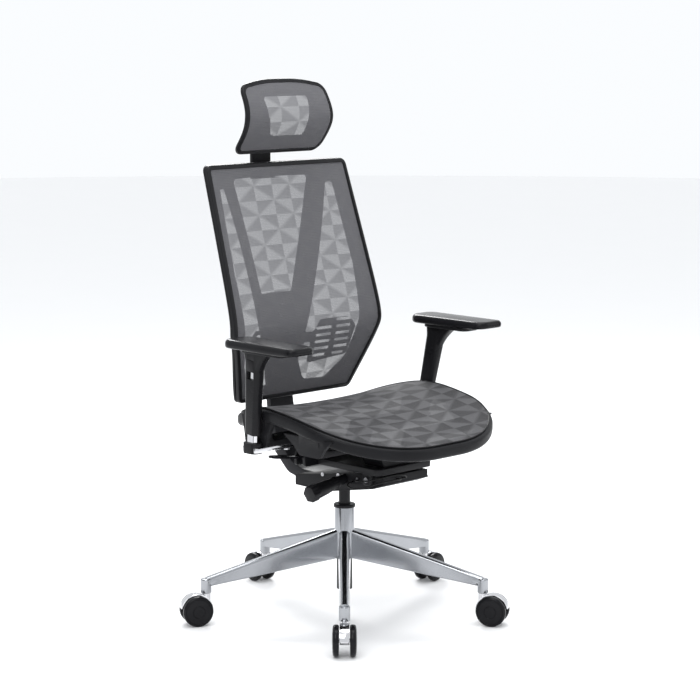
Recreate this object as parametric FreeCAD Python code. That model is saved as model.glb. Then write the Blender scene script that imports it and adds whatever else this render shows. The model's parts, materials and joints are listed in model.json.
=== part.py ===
"""Ergonomic mesh task chair with headrest: every piece is its own solid.

Millimetres, +Z up, the sitter faces -Y and the sitter's left is +X.  The origin is on the floor
under the axis of the gas lift.
"""
import FreeCAD
import Part
import math
import os

V = FreeCAD.Vector
UP = V(0, 0, 1)
BACKWARD = V(0, 1, 0)
ACROSS = V(1, 0, 0)

# ---- fits -----------------------------------------------------------------------------------
RUNNING = 0.05            # radial clearance of pins and spindles that turn
SLIDING = 0.3             # gap beside faces that slide or pass

# ---- base and casters -----------------------------------------------------------------------
LEG_COUNT = 5
FIRST_LEG_ANGLE = -133.9  # degrees from +X to the leg that points to the right front
LEG_REACH = 321.0         # lift axis to caster stem
LEG_ROOT_TOP = 198.0
LEG_ROOT_BOTTOM = 131.0
LEG_ROOT_WIDTH = 29.0
LEG_TIP_TOP = 106.0
LEG_TIP_BOTTOM = 86.0
LEG_TIP_WIDTH = 21.0
LEG_WALL = 5.0
SOCKET_RADIUS = 12.0
SOCKET_BOTTOM = 72.0
HUB_RADIUS = 22.4
HUB_TOP = 243.0
WHEEL_RADIUS = 34.0
WHEEL_WIDTH = 15.0
WHEEL_GAP = 23.0          # between the inner faces of one caster's wheels
CASTER_TRAIL = 22.5       # stem axis to axle
AXLE_RADIUS = 4.0
STEM_RADIUS = 5.5
FORK_WIDTH = 20.0
FORK_GAP = 1.2            # between the fork's top and the leg socket

# ---- gas lift -------------------------------------------------------------------------------
COLUMN_TAPER_RADIUS = 19.0
COLUMN_TUBE_RADIUS = 17.5
COLUMN_BOTTOM = 55.0
ROD_RADIUS = 13.0
ROD_BOTTOM = 92.0
ROD_TOP = 312.0
COLLAR_RADIUS = 24.5
COLLAR_HEIGHT = 7.0

# ---- tilt mechanism -------------------------------------------------------------------------
HOUSING_HALF_WIDTH = 70.0
HOUSING_WALL = 5.0
HOUSING_BOTTOM = 290.0
HOUSING_TOP = 348.0
HOUSING_FRONT = -192.0
HOUSING_BACK = 86.0
HOUSING_ROUND = 4.0
COVER_THICKNESS = 4.0
RECLINE_Y = 66.0
RECLINE_Z = 305.0
SEAT_PIVOT_Y = -150.0
SEAT_PIVOT_Z = 338.0
PIN_RADIUS = 6.0
SPRING_RADIUS = 9.0
SPRING_WIRE = 3.6
SPRING_TURNS = 12
HANDLE_DROOP = 11.0       # degrees
HANDLE_ROOT = V(-HOUSING_HALF_WIDTH, -74.0, 329.0)
HANDLE_LENGTH = 58.0
HANDLE_ROOT_RADIUS = 10.0
HANDLE_TIP_RADIUS = 15.0
KNOB_LENGTH = 50.0
KNOB_RADIUS = 18.5
KNOB_LOBES = 6
CABLE_RADIUS = 1.6

# ---- seat -----------------------------------------------------------------------------------
SEAT_HALF_WIDTH = 262.0
SEAT_FRONT = -326.0
SEAT_BACK = 152.0
SEAT_CROWN_Y = -10.0      # where the side rails are highest
SEAT_CROWN_Z = 502.0
SEAT_FRONT_FALL = 0.0043  # rail drop per (distance from the crown) ** SEAT_FALL_POWER
SEAT_BACK_FALL = 0.0078
SEAT_FALL_POWER = 1.69
SEAT_BACK_DIP = 11.0      # the rear rail is lower in its middle
SEAT_MESH_DIP = 20.0      # the mesh hangs lower in the middle of the seat
SEAT_RIM_WIDTH = 30.0
SEAT_RIM_DEPTH = 27.0
SEAT_MESH_INSET = 9.0     # bare rail outside the mesh
SEAT_RIM_ROUND = 8.5
SEAT_MESH_LIFT = 0.05    # the mesh rests this far clear of its rail
MESH_THICKNESS = 2.5
PLATE_HALF_WIDTH = HOUSING_HALF_WIDTH + 15.0
PLATE_BOTTOM = 352.0
PLATE_TOP = 366.0
PLATE_FRONT = -192.0
PLATE_BACK = 62.0
MEMBER_STEP_Z = 413.0     # underside of the raised ends of the cross members
MEMBER_THICKNESS = 12.0
REAR_MEMBER = (-14.0, 50.0)
FRONT_MEMBER = (-182.0, -122.0)
SKIRT_THICKNESS = 9.0
SKIRT_OUTER = SEAT_HALF_WIDTH - SEAT_RIM_WIDTH + 8 + SKIRT_THICKNESS

# ---- arms -----------------------------------------------------------------------------------
POST_FOOT = V(-SEAT_HALF_WIDTH, 12.0, 425.0)
POST_LEAN_FORWARD = 8.5   # degrees
POST_LEAN_OUT = 5.0       # degrees
TUBE_SECTION = (14.0, 27.0)
TUBE_TOP = 158.0          # heights along the post are from its foot
SLEEVE_BOTTOM = 18.0
SLEEVE_BORE_TOP = 191.0
SLEEVE_TOP_Z = 625.0
SLEEVE_SECTION_LOW = (23.0, 36.0)
SLEEVE_SECTION_HIGH = (28.0, 46.0)
SLEEVE_LOFT_TOP = 215.0
SLEEVE_FLARE = ((22.0, 36.0, 0.0, 140.0), (25.0, 46.0, -2.0, 172.0),
                (28.0, 92.0, -12.0, SLEEVE_LOFT_TOP))    # width, depth, shift, height
BUTTON_HEIGHTS = (161.0, 187.0)
BUTTON_WIDTH = 20.0
BUTTON_THICKNESS = 3.0
BUTTON_PROUD = 0.8
WINDOW_BOTTOM = 143.0
BRACKET_THICKNESS = 10.0
BRACKET_INNER = 96.0
FOOT_HALF = (15.0, 21.0)
BOLT_RADIUS = 4.0
BOLT_HEAD_RADIUS = 7.0
BOLT_HEAD_HEIGHT = 5.0
PAD_CENTRE = (POST_FOOT.x - 22.0, -68.0)
PAD_SIZE = (84.0, 226.0)
PAD_THICKNESS = 20.0
PAD_PLATE_SIZE = (54.0, 132.0)
PAD_PLATE_THICKNESS = 7.0

# ---- back -----------------------------------------------------------------------------------
BACK_TOP = 1004.0
BACK_WIDEST = 648.0
BACK_BOTTOM = 476.0
BACK_HALF_TOP = 210.0
BACK_HALF_WIDEST = 226.0
BACK_HALF_BOTTOM = 169.0
LUMBAR_Y = 96.0          # where the two straight parts of the side profile would meet
LUMBAR_Z = 640.0
SLOPE_ABOVE = 0.33        # backward lean above the lumbar bend
SLOPE_BELOW = 0.39        # backward lean below it
LUMBAR_BLEND = 35.0
RIM_WIDTH = 8.0
RIM_DEPTH = 10.0
RIM_ROUND = 3.5
FRAME_THICKNESS = 7.0
FRAME_LIP_POWER = 14       # how late the frame curls forward to its top and bottom edges
SPINE_BOTTOM_Y = 198.0
SPINE_SLOPE = 0.147
BACK_MESH_RECESS = 3.0
BACK_MESH_DIP = 14.0
BRACKET_HALF_WIDTH = 35.0
BOSS_THICKNESS = 4.0

# ---- lumbar support -------------------------------------------------------------------------
WING_INNER = 30.0
WING_OUTER = 158.0
WING_BOTTOM = 548.0
WING_TOP = 648.0
WING_THICKNESS = 5.0
WING_BEHIND_MESH = 9.0
SLOT_HEIGHT = 7.0
SLOT_PITCH = 16.0
RAIL_HALF_WIDTH = 8.0

# ---- headrest -------------------------------------------------------------------------------
HEAD_TOP = 1190.0
HEAD_BOTTOM = 1024.0
HEAD_HALF_WIDTH = 131.0
HEAD_ROLL_Z = 1100.0
HEAD_ROLL_Y = 131.0
HEAD_SLOPE_ABOVE = 0.75
HEAD_SLOPE_BELOW = 1.05
HEAD_BLEND = 45.0
HEAD_SHELL = 7.0
HEAD_RIM = 7.0
HEAD_MESH_RECESS = 1.5
HEAD_ROUND = 3.0
POST_HALF_WIDTH = 28.0
POST_THICKNESS = 10.0
POST_FRONT = 272.0
POST_BOTTOM = 964.0
POST_TOP = 1100.0
POST_BOSS_TOP = 992.0
SLIDER_BOTTOM = 1030.0
SLIDER_TOP = 1062.0
SLIDER_WALL = 5.0
HEAD_PIVOT_Y = 234.0
HEAD_PIVOT_Z = 1046.0
LUG_THICKNESS = 8.0


# ---- shapes ---------------------------------------------------------------------------------
def cylinder(radius, length, start, direction=UP):
    return Part.makeCylinder(radius, length, start, direction)


def tube(outer, inner, length, start, direction=UP):
    return cylinder(outer, length, start, direction).cut(cylinder(inner, length, start, direction))


def block(x0, x1, y0, y1, z0, z1):
    return Part.makeBox(x1 - x0, y1 - y0, z1 - z0, V(x0, y0, z0))


def plan(points, z=0.0):
    return [V(x, y, z) for x, y in points]


def elevation(points, y=0.0):
    return [V(x, y, z) for x, z in points]


def side_view(points, x=0.0):
    return [V(x, y, z) for y, z in points]


def rounded_wire(corners, radii):
    """Closed outline of straight runs joined by tangent arcs; a radius of 0 keeps a sharp corner."""
    if not isinstance(radii, (list, tuple)):
        radii = [radii] * len(corners)
    starts, middles, ends = [], [], []
    for index, corner in enumerate(corners):
        before = (corners[index - 1] - corner).normalize()
        after = (corners[(index + 1) % len(corners)] - corner).normalize()
        half = before.getAngle(after) / 2
        reach = radii[index] / math.tan(half)
        bisector = (before + after).normalize()
        starts.append(corner + before * reach)
        middles.append(corner + bisector * (radii[index] / math.sin(half) - radii[index]))
        ends.append(corner + after * reach)
    edges = []
    for index in range(len(corners)):
        if radii[index] > 0:
            edges.append(Part.Arc(starts[index], middles[index], ends[index]).toShape())
        following = starts[(index + 1) % len(corners)]
        if (following - ends[index]).Length > 1e-6:
            edges.append(Part.LineSegment(ends[index], following).toShape())
    return Part.Wire(edges)


def prism(corners, radii, along):
    return Part.Face(rounded_wire(corners, radii)).extrude(along)


def section(width, depth, radius, centre, side=ACROSS, rise=BACKWARD):
    """Rounded rectangle, width along side and depth along rise."""
    halves = [(-0.5, -0.5), (0.5, -0.5), (0.5, 0.5), (-0.5, 0.5)]
    corners = [centre + side * (width * a) + rise * (depth * b) for a, b in halves]
    return rounded_wire(corners, radius)


def inset(points, distance):
    """Convex outline, listed anticlockwise, moved inwards by distance."""
    result = []
    count = len(points)
    for index, (x, y) in enumerate(points):
        (px, py), (nx, ny) = points[index - 1], points[(index + 1) % count]
        before = V(x - px, y - py, 0).normalize()
        after = V(nx - x, ny - y, 0).normalize()
        normals = V(-before.y - after.y, before.x + after.x, 0).normalize()
        scale = distance / normals.dot(V(-before.y, before.x, 0))
        result.append((x + normals.x * scale, y + normals.y * scale))
    return result


def mirrored(points):
    """Right half of an outline, listed from the bottom up, completed by its left half."""
    return points + [(-x, y) for x, y in reversed(points)]


def steps(low, high, count):
    return [low + (high - low) * index / (count - 1) for index in range(count)]


def sheet(place, height, u_range, v_range, along, counts=(17, 21)):
    """Smooth surface through height(u, v), thickened along one direction."""
    grid = [[place(u, v, height(u, v)) for v in steps(*v_range, counts[1])]
            for u in steps(*u_range, counts[0])]
    surface = Part.BSplineSurface()
    surface.interpolate(grid)
    return surface.toShape().extrude(along)


def rim_edges(shape, column, reach_axis):
    """Edges of a shape that run round the wall of a straight column, leaving out those along it."""
    sides = [face for face in column.Faces if abs(face.normalAt(0, 0).dot(reach_axis)) < 0.5]
    wall = Part.makeCompound(sides)
    found = []
    for edge in shape.Edges:
        span = edge.LastParameter - edge.FirstParameter
        middle = edge.FirstParameter + span / 2
        if abs(edge.tangentAt(middle).dot(reach_axis)) > 0.95:
            continue
        points = [edge.valueAt(edge.FirstParameter + span * share) for share in (0.2, 0.5, 0.8)]
        if all(wall.distToShape(Part.Vertex(point))[0] < 0.05 for point in points):
            found.append(edge)
    return found


def soft_corner(distance, blend, slope_low, slope_high):
    """Rises with slope_low before 0 and slope_high after it, rounded over the blend length."""
    mean = (slope_high - slope_low) / 2
    half_turn = (slope_high + slope_low) / 2
    return mean * distance + half_turn * math.hypot(distance, blend)


def rounded_path(points, turn_share=0.45):
    """Straight runs joined by the largest tangent arcs that the shorter run allows."""
    edges = []
    radii = []
    cursor = points[0]
    for before, corner, after in zip(points, points[1:], points[2:]):
        back = (before - corner).normalize()
        forth = (after - corner).normalize()
        half = back.getAngle(forth) / 2
        reach = turn_share * min((before - corner).Length, (after - corner).Length)
        radius = reach * math.tan(half)
        radii.append(radius)
        bisector = (back + forth).normalize()
        middle = corner + bisector * (radius / math.sin(half) - radius)
        edges.append(Part.LineSegment(cursor, corner + back * reach).toShape())
        edges.append(Part.Arc(corner + back * reach, middle, corner + forth * reach).toShape())
        cursor = corner + forth * reach
    edges.append(Part.LineSegment(cursor, points[-1]).toShape())
    return Part.Wire(edges), radii


# ---- base -----------------------------------------------------------------------------------
def leg_direction(index):
    angle = math.radians(FIRST_LEG_ANGLE + 360.0 / LEG_COUNT * index)
    return V(math.cos(angle), math.sin(angle), 0)


def leg_height(reach, at_root, at_tip):
    return at_root + (at_tip - at_root) * reach / LEG_REACH


def leg_section(direction, reach, shrink):
    """Cross section of a leg; shrink is the wall left outside a hollow's section."""
    sideways = UP.cross(direction)
    width = leg_height(reach, LEG_ROOT_WIDTH, LEG_TIP_WIDTH) - 2 * shrink
    top = leg_height(reach, LEG_ROOT_TOP, LEG_TIP_TOP) - shrink
    bottom = leg_height(reach, LEG_ROOT_BOTTOM, LEG_TIP_BOTTOM) - shrink
    low = direction * reach + V(0, 0, bottom)
    high = direction * reach + V(0, 0, top)
    corners = [low - sideways * (width * 0.5), low + sideways * (width * 0.5),
               high + sideways * (width * 0.36), high - sideways * (width * 0.36)]
    top_radius = max(0.28 * width, 1.0)
    return rounded_wire(corners, [1.0, 1.0, top_radius, top_radius])


def base_star():
    star = cylinder(HUB_RADIUS, HUB_TOP - LEG_ROOT_BOTTOM, V(0, 0, LEG_ROOT_BOTTOM))
    skirt_top = LEG_ROOT_TOP - 12
    skirt = Part.makeCone(LEG_ROOT_WIDTH * 0.85, HUB_RADIUS, skirt_top - LEG_ROOT_BOTTOM,
                          V(0, 0, LEG_ROOT_BOTTOM), UP)
    star = star.fuse(skirt)
    for index in range(LEG_COUNT):
        direction = leg_direction(index)
        leg = Part.makeLoft([leg_section(direction, r, 0) for r in (6.0, LEG_REACH)], True, True)
        hollow = Part.makeLoft([leg_section(direction, r, LEG_WALL)
                                for r in (HUB_RADIUS + 24, LEG_REACH - SOCKET_RADIUS - 14)], True, True)
        tip = V(direction.x * LEG_REACH, direction.y * LEG_REACH, SOCKET_BOTTOM)
        socket = cylinder(SOCKET_RADIUS, LEG_TIP_TOP - 3 - SOCKET_BOTTOM, tip)
        socket = socket.makeFillet(3.0, [edge for edge in socket.Edges
                                         if edge.BoundBox.ZMin > SOCKET_BOTTOM + 5
                                         and edge.BoundBox.ZLength < 1])
        star = star.fuse(leg.cut(hollow)).fuse(socket)
    bore_bottom = LEG_ROOT_BOTTOM - 10
    star = star.cut(cylinder(COLUMN_TAPER_RADIUS, HUB_TOP - bore_bottom, V(0, 0, bore_bottom)))
    for index in range(LEG_COUNT):
        direction = leg_direction(index)
        star = star.cut(stem(direction, SOCKET_BOTTOM, SOCKET_BOTTOM + 26))
    return star


def stem(direction, bottom, top):
    return cylinder(STEM_RADIUS, top - bottom,
                    V(direction.x * LEG_REACH, direction.y * LEG_REACH, bottom))


def caster_stems():
    return [stem(leg_direction(index), WHEEL_RADIUS + 14, SOCKET_BOTTOM + 26)
            for index in range(LEG_COUNT)]


def caster_frame(index):
    """Swivel point on the floor, axle centre, rolling direction and axle direction."""
    direction = leg_direction(index)
    swivel = direction * LEG_REACH
    centre = swivel + direction * CASTER_TRAIL + V(0, 0, WHEEL_RADIUS)
    return swivel, centre, direction, UP.cross(direction)


def across_disc(radius, width, centre, axle):
    return cylinder(radius, width, centre - axle * (width / 2), axle)


def caster_fork(index):
    swivel, centre, direction, axle = caster_frame(index)
    top = SOCKET_BOTTOM - FORK_GAP
    hood_radius = top - WHEEL_RADIUS
    hood = across_disc(hood_radius, FORK_WIDTH, centre, axle)
    hollow = across_disc(hood_radius - 5, FORK_WIDTH, centre, axle)
    web = across_disc(hood_radius - 5, 7, centre, axle)
    shell = hood.cut(hollow).fuse(web)
    lower = [centre + direction * a + V(0, 0, b)
             for a, b in ((-60, -60), (60, -60), (60, 8), (-14, 4), (-60, 4))]
    cutter = prism([point - axle * 30 for point in lower], 0, axle * 60)
    shell = shell.cut(cutter)
    barrel = cylinder(FORK_WIDTH / 2, top - WHEEL_RADIUS - 6, swivel + V(0, 0, WHEEL_RADIUS + 6))
    boss = across_disc(AXLE_RADIUS + 5, FORK_WIDTH, centre, axle)
    fork = shell.fuse(barrel).fuse(boss)
    fork = fork.cut(cylinder(STEM_RADIUS + RUNNING, 40, swivel + V(0, 0, WHEEL_RADIUS + 14)))
    return fork.cut(across_disc(AXLE_RADIUS, FORK_WIDTH + 2, centre, axle))


def caster_axle(index):
    _, centre, _, axle = caster_frame(index)
    return across_disc(AXLE_RADIUS, WHEEL_GAP + 2 * (WHEEL_WIDTH - 2.6), centre, axle)


def caster_wheel(index, hand):
    """Domed wheel on a blind bore; hand is -1 or +1 along the axle."""
    _, centre, _, axle = caster_frame(index)
    out = axle * hand
    bore = AXLE_RADIUS + RUNNING
    inner = centre + out * (WHEEL_GAP / 2)

    def at(radius, depth):
        return inner + UP * radius + out * depth

    edges = [Part.LineSegment(at(bore, 0), at(WHEEL_RADIUS - 4, 0)),
             Part.Arc(at(WHEEL_RADIUS - 4, 0), at(WHEEL_RADIUS - 1.2, 1.2), at(WHEEL_RADIUS, 4)),
             Part.LineSegment(at(WHEEL_RADIUS, 4), at(WHEEL_RADIUS, 8)),
             Part.Arc(at(WHEEL_RADIUS, 8), at(WHEEL_RADIUS - 2.6, 12), at(WHEEL_RADIUS - 8, 13.6)),
             Part.LineSegment(at(WHEEL_RADIUS - 8, 13.6), at(0, WHEEL_WIDTH)),
             Part.LineSegment(at(0, WHEEL_WIDTH), at(0, WHEEL_WIDTH - 2.3)),
             Part.LineSegment(at(0, WHEEL_WIDTH - 2.3), at(bore, WHEEL_WIDTH - 2.3)),
             Part.LineSegment(at(bore, WHEEL_WIDTH - 2.3), at(bore, 0))]
    face = Part.Face(Part.Wire([edge.toShape() for edge in edges]))
    return face.revolve(centre, axle, 360)


# ---- gas lift -------------------------------------------------------------------------------
def lift_column():
    upper = cylinder(COLUMN_TAPER_RADIUS, HUB_TOP - LEG_ROOT_BOTTOM, V(0, 0, LEG_ROOT_BOTTOM))
    lower = cylinder(COLUMN_TUBE_RADIUS, LEG_ROOT_BOTTOM - COLUMN_BOTTOM, V(0, 0, COLUMN_BOTTOM))
    floor = COLUMN_BOTTOM + 4
    return upper.fuse(lower).cut(cylinder(ROD_RADIUS + RUNNING, HUB_TOP - floor, V(0, 0, floor)))


def lift_collar():
    ring = tube(COLLAR_RADIUS, ROD_RADIUS + SLIDING, COLLAR_HEIGHT, V(0, 0, HUB_TOP))
    top = HUB_TOP + COLLAR_HEIGHT
    rim = [edge for edge in ring.Edges if edge.BoundBox.ZMin > top - 0.1 and edge.Length > 120]
    return ring.makeFillet(2.0, rim)


def lift_rod():
    rod = cylinder(ROD_RADIUS, ROD_TOP - ROD_BOTTOM, V(0, 0, ROD_BOTTOM))
    return rod.makeChamfer(1.0, [edge for edge in rod.Edges if edge.BoundBox.ZLength < 1])


# ---- mechanism ------------------------------------------------------------------------------
def housing_outline(wall, cover=0.0):
    """Side view; wall moves it inwards, cover raises its lower edge."""
    front, back = HOUSING_FRONT + wall, HOUSING_BACK - wall
    low, high = HOUSING_BOTTOM + cover, HOUSING_TOP - wall
    return [(front, high), (front, low + 40), (-160, low + 28), (-30, low + 3), (30, low),
            (back, low), (back, high - 34), (SEAT_PIVOT_Y + 26, high)]


def housing_floor(raise_by):
    """The housing's lower edge, front to back."""
    low = HOUSING_BOTTOM + raise_by
    return [(HOUSING_FRONT, low + 40), (-160, low + 28), (-30, low + 3), (30, low), (HOUSING_BACK, low)]


def mechanism_housing():
    half = HOUSING_HALF_WIDTH
    outer = prism(side_view(housing_outline(0, COVER_THICKNESS), -half), 0, V(2 * half, 0, 0))
    shoulders = [edge for edge in outer.Edges if edge.Length < 2 * half - 1
                 and edge.CenterOfMass.z > HOUSING_TOP - 24]
    outer = outer.makeFillet(HOUSING_ROUND, shoulders)
    inner_half = half - HOUSING_WALL
    hollow = prism(side_view(housing_outline(HOUSING_WALL, 0), -inner_half), 0, V(2 * inner_half, 0, 0))
    body = outer.cut(hollow)
    tower_top = HOUSING_TOP - 14
    tower = cylinder(ROD_RADIUS + 8, tower_top - HOUSING_BOTTOM - COVER_THICKNESS,
                     V(0, 0, HOUSING_BOTTOM + COVER_THICKNESS))
    body = body.fuse(tower.common(outer))
    cheek = 8.0
    ear = BRACKET_HALF_WIDTH + SLIDING
    for hand in (-1, 1):
        near, far = sorted((hand * ear, hand * (ear + cheek)))
        plate = block(near, far, RECLINE_Y - 24, HOUSING_BACK, HOUSING_BOTTOM + COVER_THICKNESS, HOUSING_TOP)
        body = body.fuse(plate.common(outer))
    body = body.cut(block(-ear, ear, RECLINE_Y - 16, HOUSING_BACK + 1, HOUSING_BOTTOM - 1, HOUSING_TOP + 1))
    body = body.cut(cylinder(ROD_RADIUS + RUNNING, ROD_TOP + 2 - HOUSING_BOTTOM, V(0, 0, HOUSING_BOTTOM)))
    body = body.cut(pin(RECLINE_Y, RECLINE_Z, ear + cheek, PIN_RADIUS))
    return body.cut(pin(SEAT_PIVOT_Y, SEAT_PIVOT_Z, half + 1, PIN_RADIUS)).removeSplitter()


def pin(y, z, half_length, radius):
    return cylinder(radius, 2 * half_length, V(-half_length, y, z), ACROSS)


def mechanism_cover():
    """Lower shell plate under the housing, with a hole for the lift rod."""
    half = HOUSING_HALF_WIDTH
    lower = housing_floor(0)
    upper = housing_floor(COVER_THICKNESS)
    outline = side_view(lower + upper[::-1], -half)
    plate = prism(outline, 0, V(2 * half, 0, 0))
    ear = BRACKET_HALF_WIDTH + SLIDING
    plate = plate.cut(block(-ear, ear, RECLINE_Y - 16, HOUSING_BACK + 1, 0, HOUSING_TOP))
    return plate.cut(cylinder(ROD_RADIUS + 1.5, 40, V(0, 0, HOUSING_BOTTOM - 10)))


def tilt_spring():
    """Coil between the seat pivot and the socket of the lift rod, parallel to the housing's floor."""
    start = V(0, SEAT_PIVOT_Y + PIN_RADIUS + 8, SEAT_PIVOT_Z - 7.5)
    end = V(0, -ROD_RADIUS - 12, RECLINE_Z + 6.5)
    length = (end - start).Length
    helix = Part.makeHelix(length / SPRING_TURNS, length, SPRING_RADIUS)
    profile = Part.Wire(Part.makeCircle(SPRING_WIRE / 2, V(SPRING_RADIUS, 0, 0), V(0, 1, 0)))
    coil = Part.Wire(helix.Edges).makePipeShell([profile], True, True)
    coil.rotate(V(0, 0, 0), ACROSS, -90)
    coil.translate(start)
    coil.rotate(start, ACROSS, -math.degrees(math.asin((start.z - end.z) / length)))
    return coil


def handle_axis():
    droop = math.radians(HANDLE_DROOP)
    return V(-math.cos(droop), 0, -math.sin(droop))


def control_handle():
    axis = handle_axis()
    root = HANDLE_ROOT - axis * 6
    sleeve = Part.makeCone(HANDLE_ROOT_RADIUS, HANDLE_TIP_RADIUS, HANDLE_LENGTH + 6, root, axis)
    spindle = cylinder(PIN_RADIUS, KNOB_LENGTH - 8, HANDLE_ROOT + axis * HANDLE_LENGTH, axis)
    handle = sleeve.fuse(spindle)
    return handle.cut(block(-HOUSING_HALF_WIDTH, 0, -200, 50, 250, 400))


def tension_knob():
    axis = handle_axis()
    start = HANDLE_ROOT + axis * (HANDLE_LENGTH + SLIDING)
    knob = Part.makeCone(15.5, KNOB_RADIUS - 2, KNOB_LENGTH * 0.5, start, axis)
    grip = cylinder(KNOB_RADIUS - 2, KNOB_LENGTH * 0.5, start + axis * (KNOB_LENGTH * 0.5), axis)
    knob = knob.fuse(grip)
    sideways = V(0, 1, 0)
    rise = axis.cross(sideways)
    for index in range(KNOB_LOBES):
        angle = 2 * math.pi * index / KNOB_LOBES
        outward = sideways * math.cos(angle) + rise * math.sin(angle)
        lobe = cylinder(6.0, KNOB_LENGTH * 0.36, start + axis * (KNOB_LENGTH * 0.64)
                        + outward * (KNOB_RADIUS - 6), axis)
        knob = knob.fuse(lobe)
    return knob.cut(cylinder(PIN_RADIUS + RUNNING, KNOB_LENGTH - 7, start - axis, axis)).removeSplitter()


CABLE_ROUTES = (
    [(-HOUSING_HALF_WIDTH, -100, 326), (-92, -103, 325), (-104, -122, 321),
     (-104, HOUSING_FRONT + 46, 321), (-98, HOUSING_FRONT + 20, 329),
     (-80, HOUSING_FRONT - 8, 341), (-54, HOUSING_FRONT - 26, 346), (-32, HOUSING_FRONT - 20, 343),
     (-28, HOUSING_FRONT, 341)],
    [(-HOUSING_HALF_WIDTH, -118, 332), (-86, -121, 334), (-92, HOUSING_FRONT + 54, 335),
     (-90, HOUSING_FRONT + 32, 338), (-80, HOUSING_FRONT + 8, 345),
     (-58, HOUSING_FRONT - 16, 354), (-34, HOUSING_FRONT - 26, 355), (-14, HOUSING_FRONT - 18, 344),
     (-10, HOUSING_FRONT, 340)])


def control_cables():
    cables = []
    for route in CABLE_ROUTES:
        path, radii = rounded_path([V(*point) for point in route])
        start = V(*route[0])
        ahead = V(*route[1]) - start
        profile = Part.Wire(Part.makeCircle(CABLE_RADIUS, start, ahead))
        cable = path.makePipeShell([profile], True, True)
        ideal = math.pi * CABLE_RADIUS ** 2 * path.Length
        print("control cable: length %.0f, volume ratio %.3f, radii" % (path.Length, cable.Volume / ideal),
              [round(radius) for radius in radii])
        cable = cable.cut(block(-HOUSING_HALF_WIDTH, 0, HOUSING_FRONT, 0, 250, 400))
        cables.append(cable)
    return cables


# ---- seat -----------------------------------------------------------------------------------
SEAT_OUTLINE = [(-SEAT_HALF_WIDTH + 62, SEAT_BACK), (-SEAT_HALF_WIDTH, SEAT_CROWN_Y - 10),
                (-SEAT_HALF_WIDTH + 4, SEAT_FRONT + 110), (-SEAT_HALF_WIDTH + 139, SEAT_FRONT),
                (SEAT_HALF_WIDTH - 139, SEAT_FRONT), (SEAT_HALF_WIDTH - 4, SEAT_FRONT + 110),
                (SEAT_HALF_WIDTH, SEAT_CROWN_Y - 10), (SEAT_HALF_WIDTH - 62, SEAT_BACK)]
SEAT_CORNER_RADII = [70, 300, 165, 255, 255, 165, 300, 70]


def rail_height(x, y):
    fall = SEAT_BACK_FALL if y > SEAT_CROWN_Y else SEAT_FRONT_FALL
    drop = fall * abs(y - SEAT_CROWN_Y) ** SEAT_FALL_POWER
    rearward = max(0.0, (y - SEAT_CROWN_Y) / (SEAT_BACK - SEAT_CROWN_Y))
    dip = SEAT_BACK_DIP * rearward ** 2 * (1 - (x / SEAT_HALF_WIDTH) ** 2)
    return SEAT_CROWN_Z - drop - dip


def seat_mesh_height(x, y):
    middle = (SEAT_FRONT + SEAT_BACK) / 2
    half = (SEAT_BACK - SEAT_FRONT) / 2
    bowl = (1 - (x / SEAT_HALF_WIDTH) ** 2) * (1 - ((y - middle) / half) ** 2)
    return rail_height(x, y) - SEAT_MESH_DIP * max(0.0, bowl)


def seat_slab(height, thickness):
    margin = 12.0
    half = SEAT_HALF_WIDTH + margin
    return sheet(lambda x, y, z: V(x, y, z), height, (-half, half),
                 (SEAT_FRONT - margin, SEAT_BACK + margin), V(0, 0, -thickness))


def seat_prism(distance):
    outline = inset(SEAT_OUTLINE, distance)
    radii = [radius - distance for radius in SEAT_CORNER_RADII]
    return prism(plan(outline, 300), radii, V(0, 0, 300))


def cross_member(span):
    """Beam that dips to the seat plate in its middle and rises to the side rails."""
    low = PLATE_TOP + SLIDING
    step = MEMBER_STEP_Z
    thick = MEMBER_THICKNESS
    rail = SEAT_HALF_WIDTH - SEAT_RIM_WIDTH
    top = rail_height(SEAT_HALF_WIDTH, (span[0] + span[1]) / 2) - SEAT_RIM_DEPTH / 2
    under = [(56, low), (78, step), (rail + 6, step), (rail + 16, step + 12), (rail + 22, top)]
    over = [(rail + 4, top), (rail - 4, step + thick + 6), (rail - 10, step + thick),
            (68, step + thick), (46, low + thick)]
    right = under + over
    corners = elevation(right + [(-x, z) for x, z in reversed(right)], span[0])
    return prism(corners, 0, V(0, span[1] - span[0], 0))


def seat_skirt(span, spread):
    """Side panel that carries the rail on the end of a cross member, wider towards the rail."""
    start, end = span
    lowest = min(rail_height(SEAT_HALF_WIDTH, y) for y in (start - spread[0], end + spread[1]))
    top = lowest - SEAT_RIM_DEPTH * 0.5
    middle = (top + MEMBER_STEP_Z) / 2
    outline = [(start, MEMBER_STEP_Z), (end, MEMBER_STEP_Z), (end + spread[1] * 0.4, middle),
               (end + spread[1], top), (start - spread[0], top), (start - spread[0] * 0.4, middle)]
    radii = [10, 10, 20, 0, 0, 20]
    right = prism(side_view(outline, SKIRT_OUTER - SKIRT_THICKNESS), radii, V(SKIRT_THICKNESS, 0, 0))
    left = prism(side_view(outline, -SKIRT_OUTER), radii, V(SKIRT_THICKNESS, 0, 0))
    return right, left


def seat_frame():
    top = MESH_THICKNESS + SEAT_MESH_LIFT
    ring = seat_slab(lambda x, y: seat_mesh_height(x, y) - top, SEAT_RIM_DEPTH)
    ring = ring.common(seat_prism(0)).cut(seat_prism(SEAT_RIM_WIDTH))
    ring = ring.makeFillet(SEAT_RIM_ROUND, rim_edges(ring, seat_prism(0), UP))
    for span, spread in ((REAR_MEMBER, (30, 12)), (FRONT_MEMBER, (36, 50))):
        ring = ring.fuse(cross_member(span))
        for skirt in seat_skirt(span, spread):
            ring = ring.fuse(skirt)
    for x, y in BOLT_PLACES:
        ring = ring.cut(cylinder(BOLT_RADIUS, 2 * MEMBER_THICKNESS, V(x, y, MEMBER_STEP_Z - 8)))
    return ring


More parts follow.
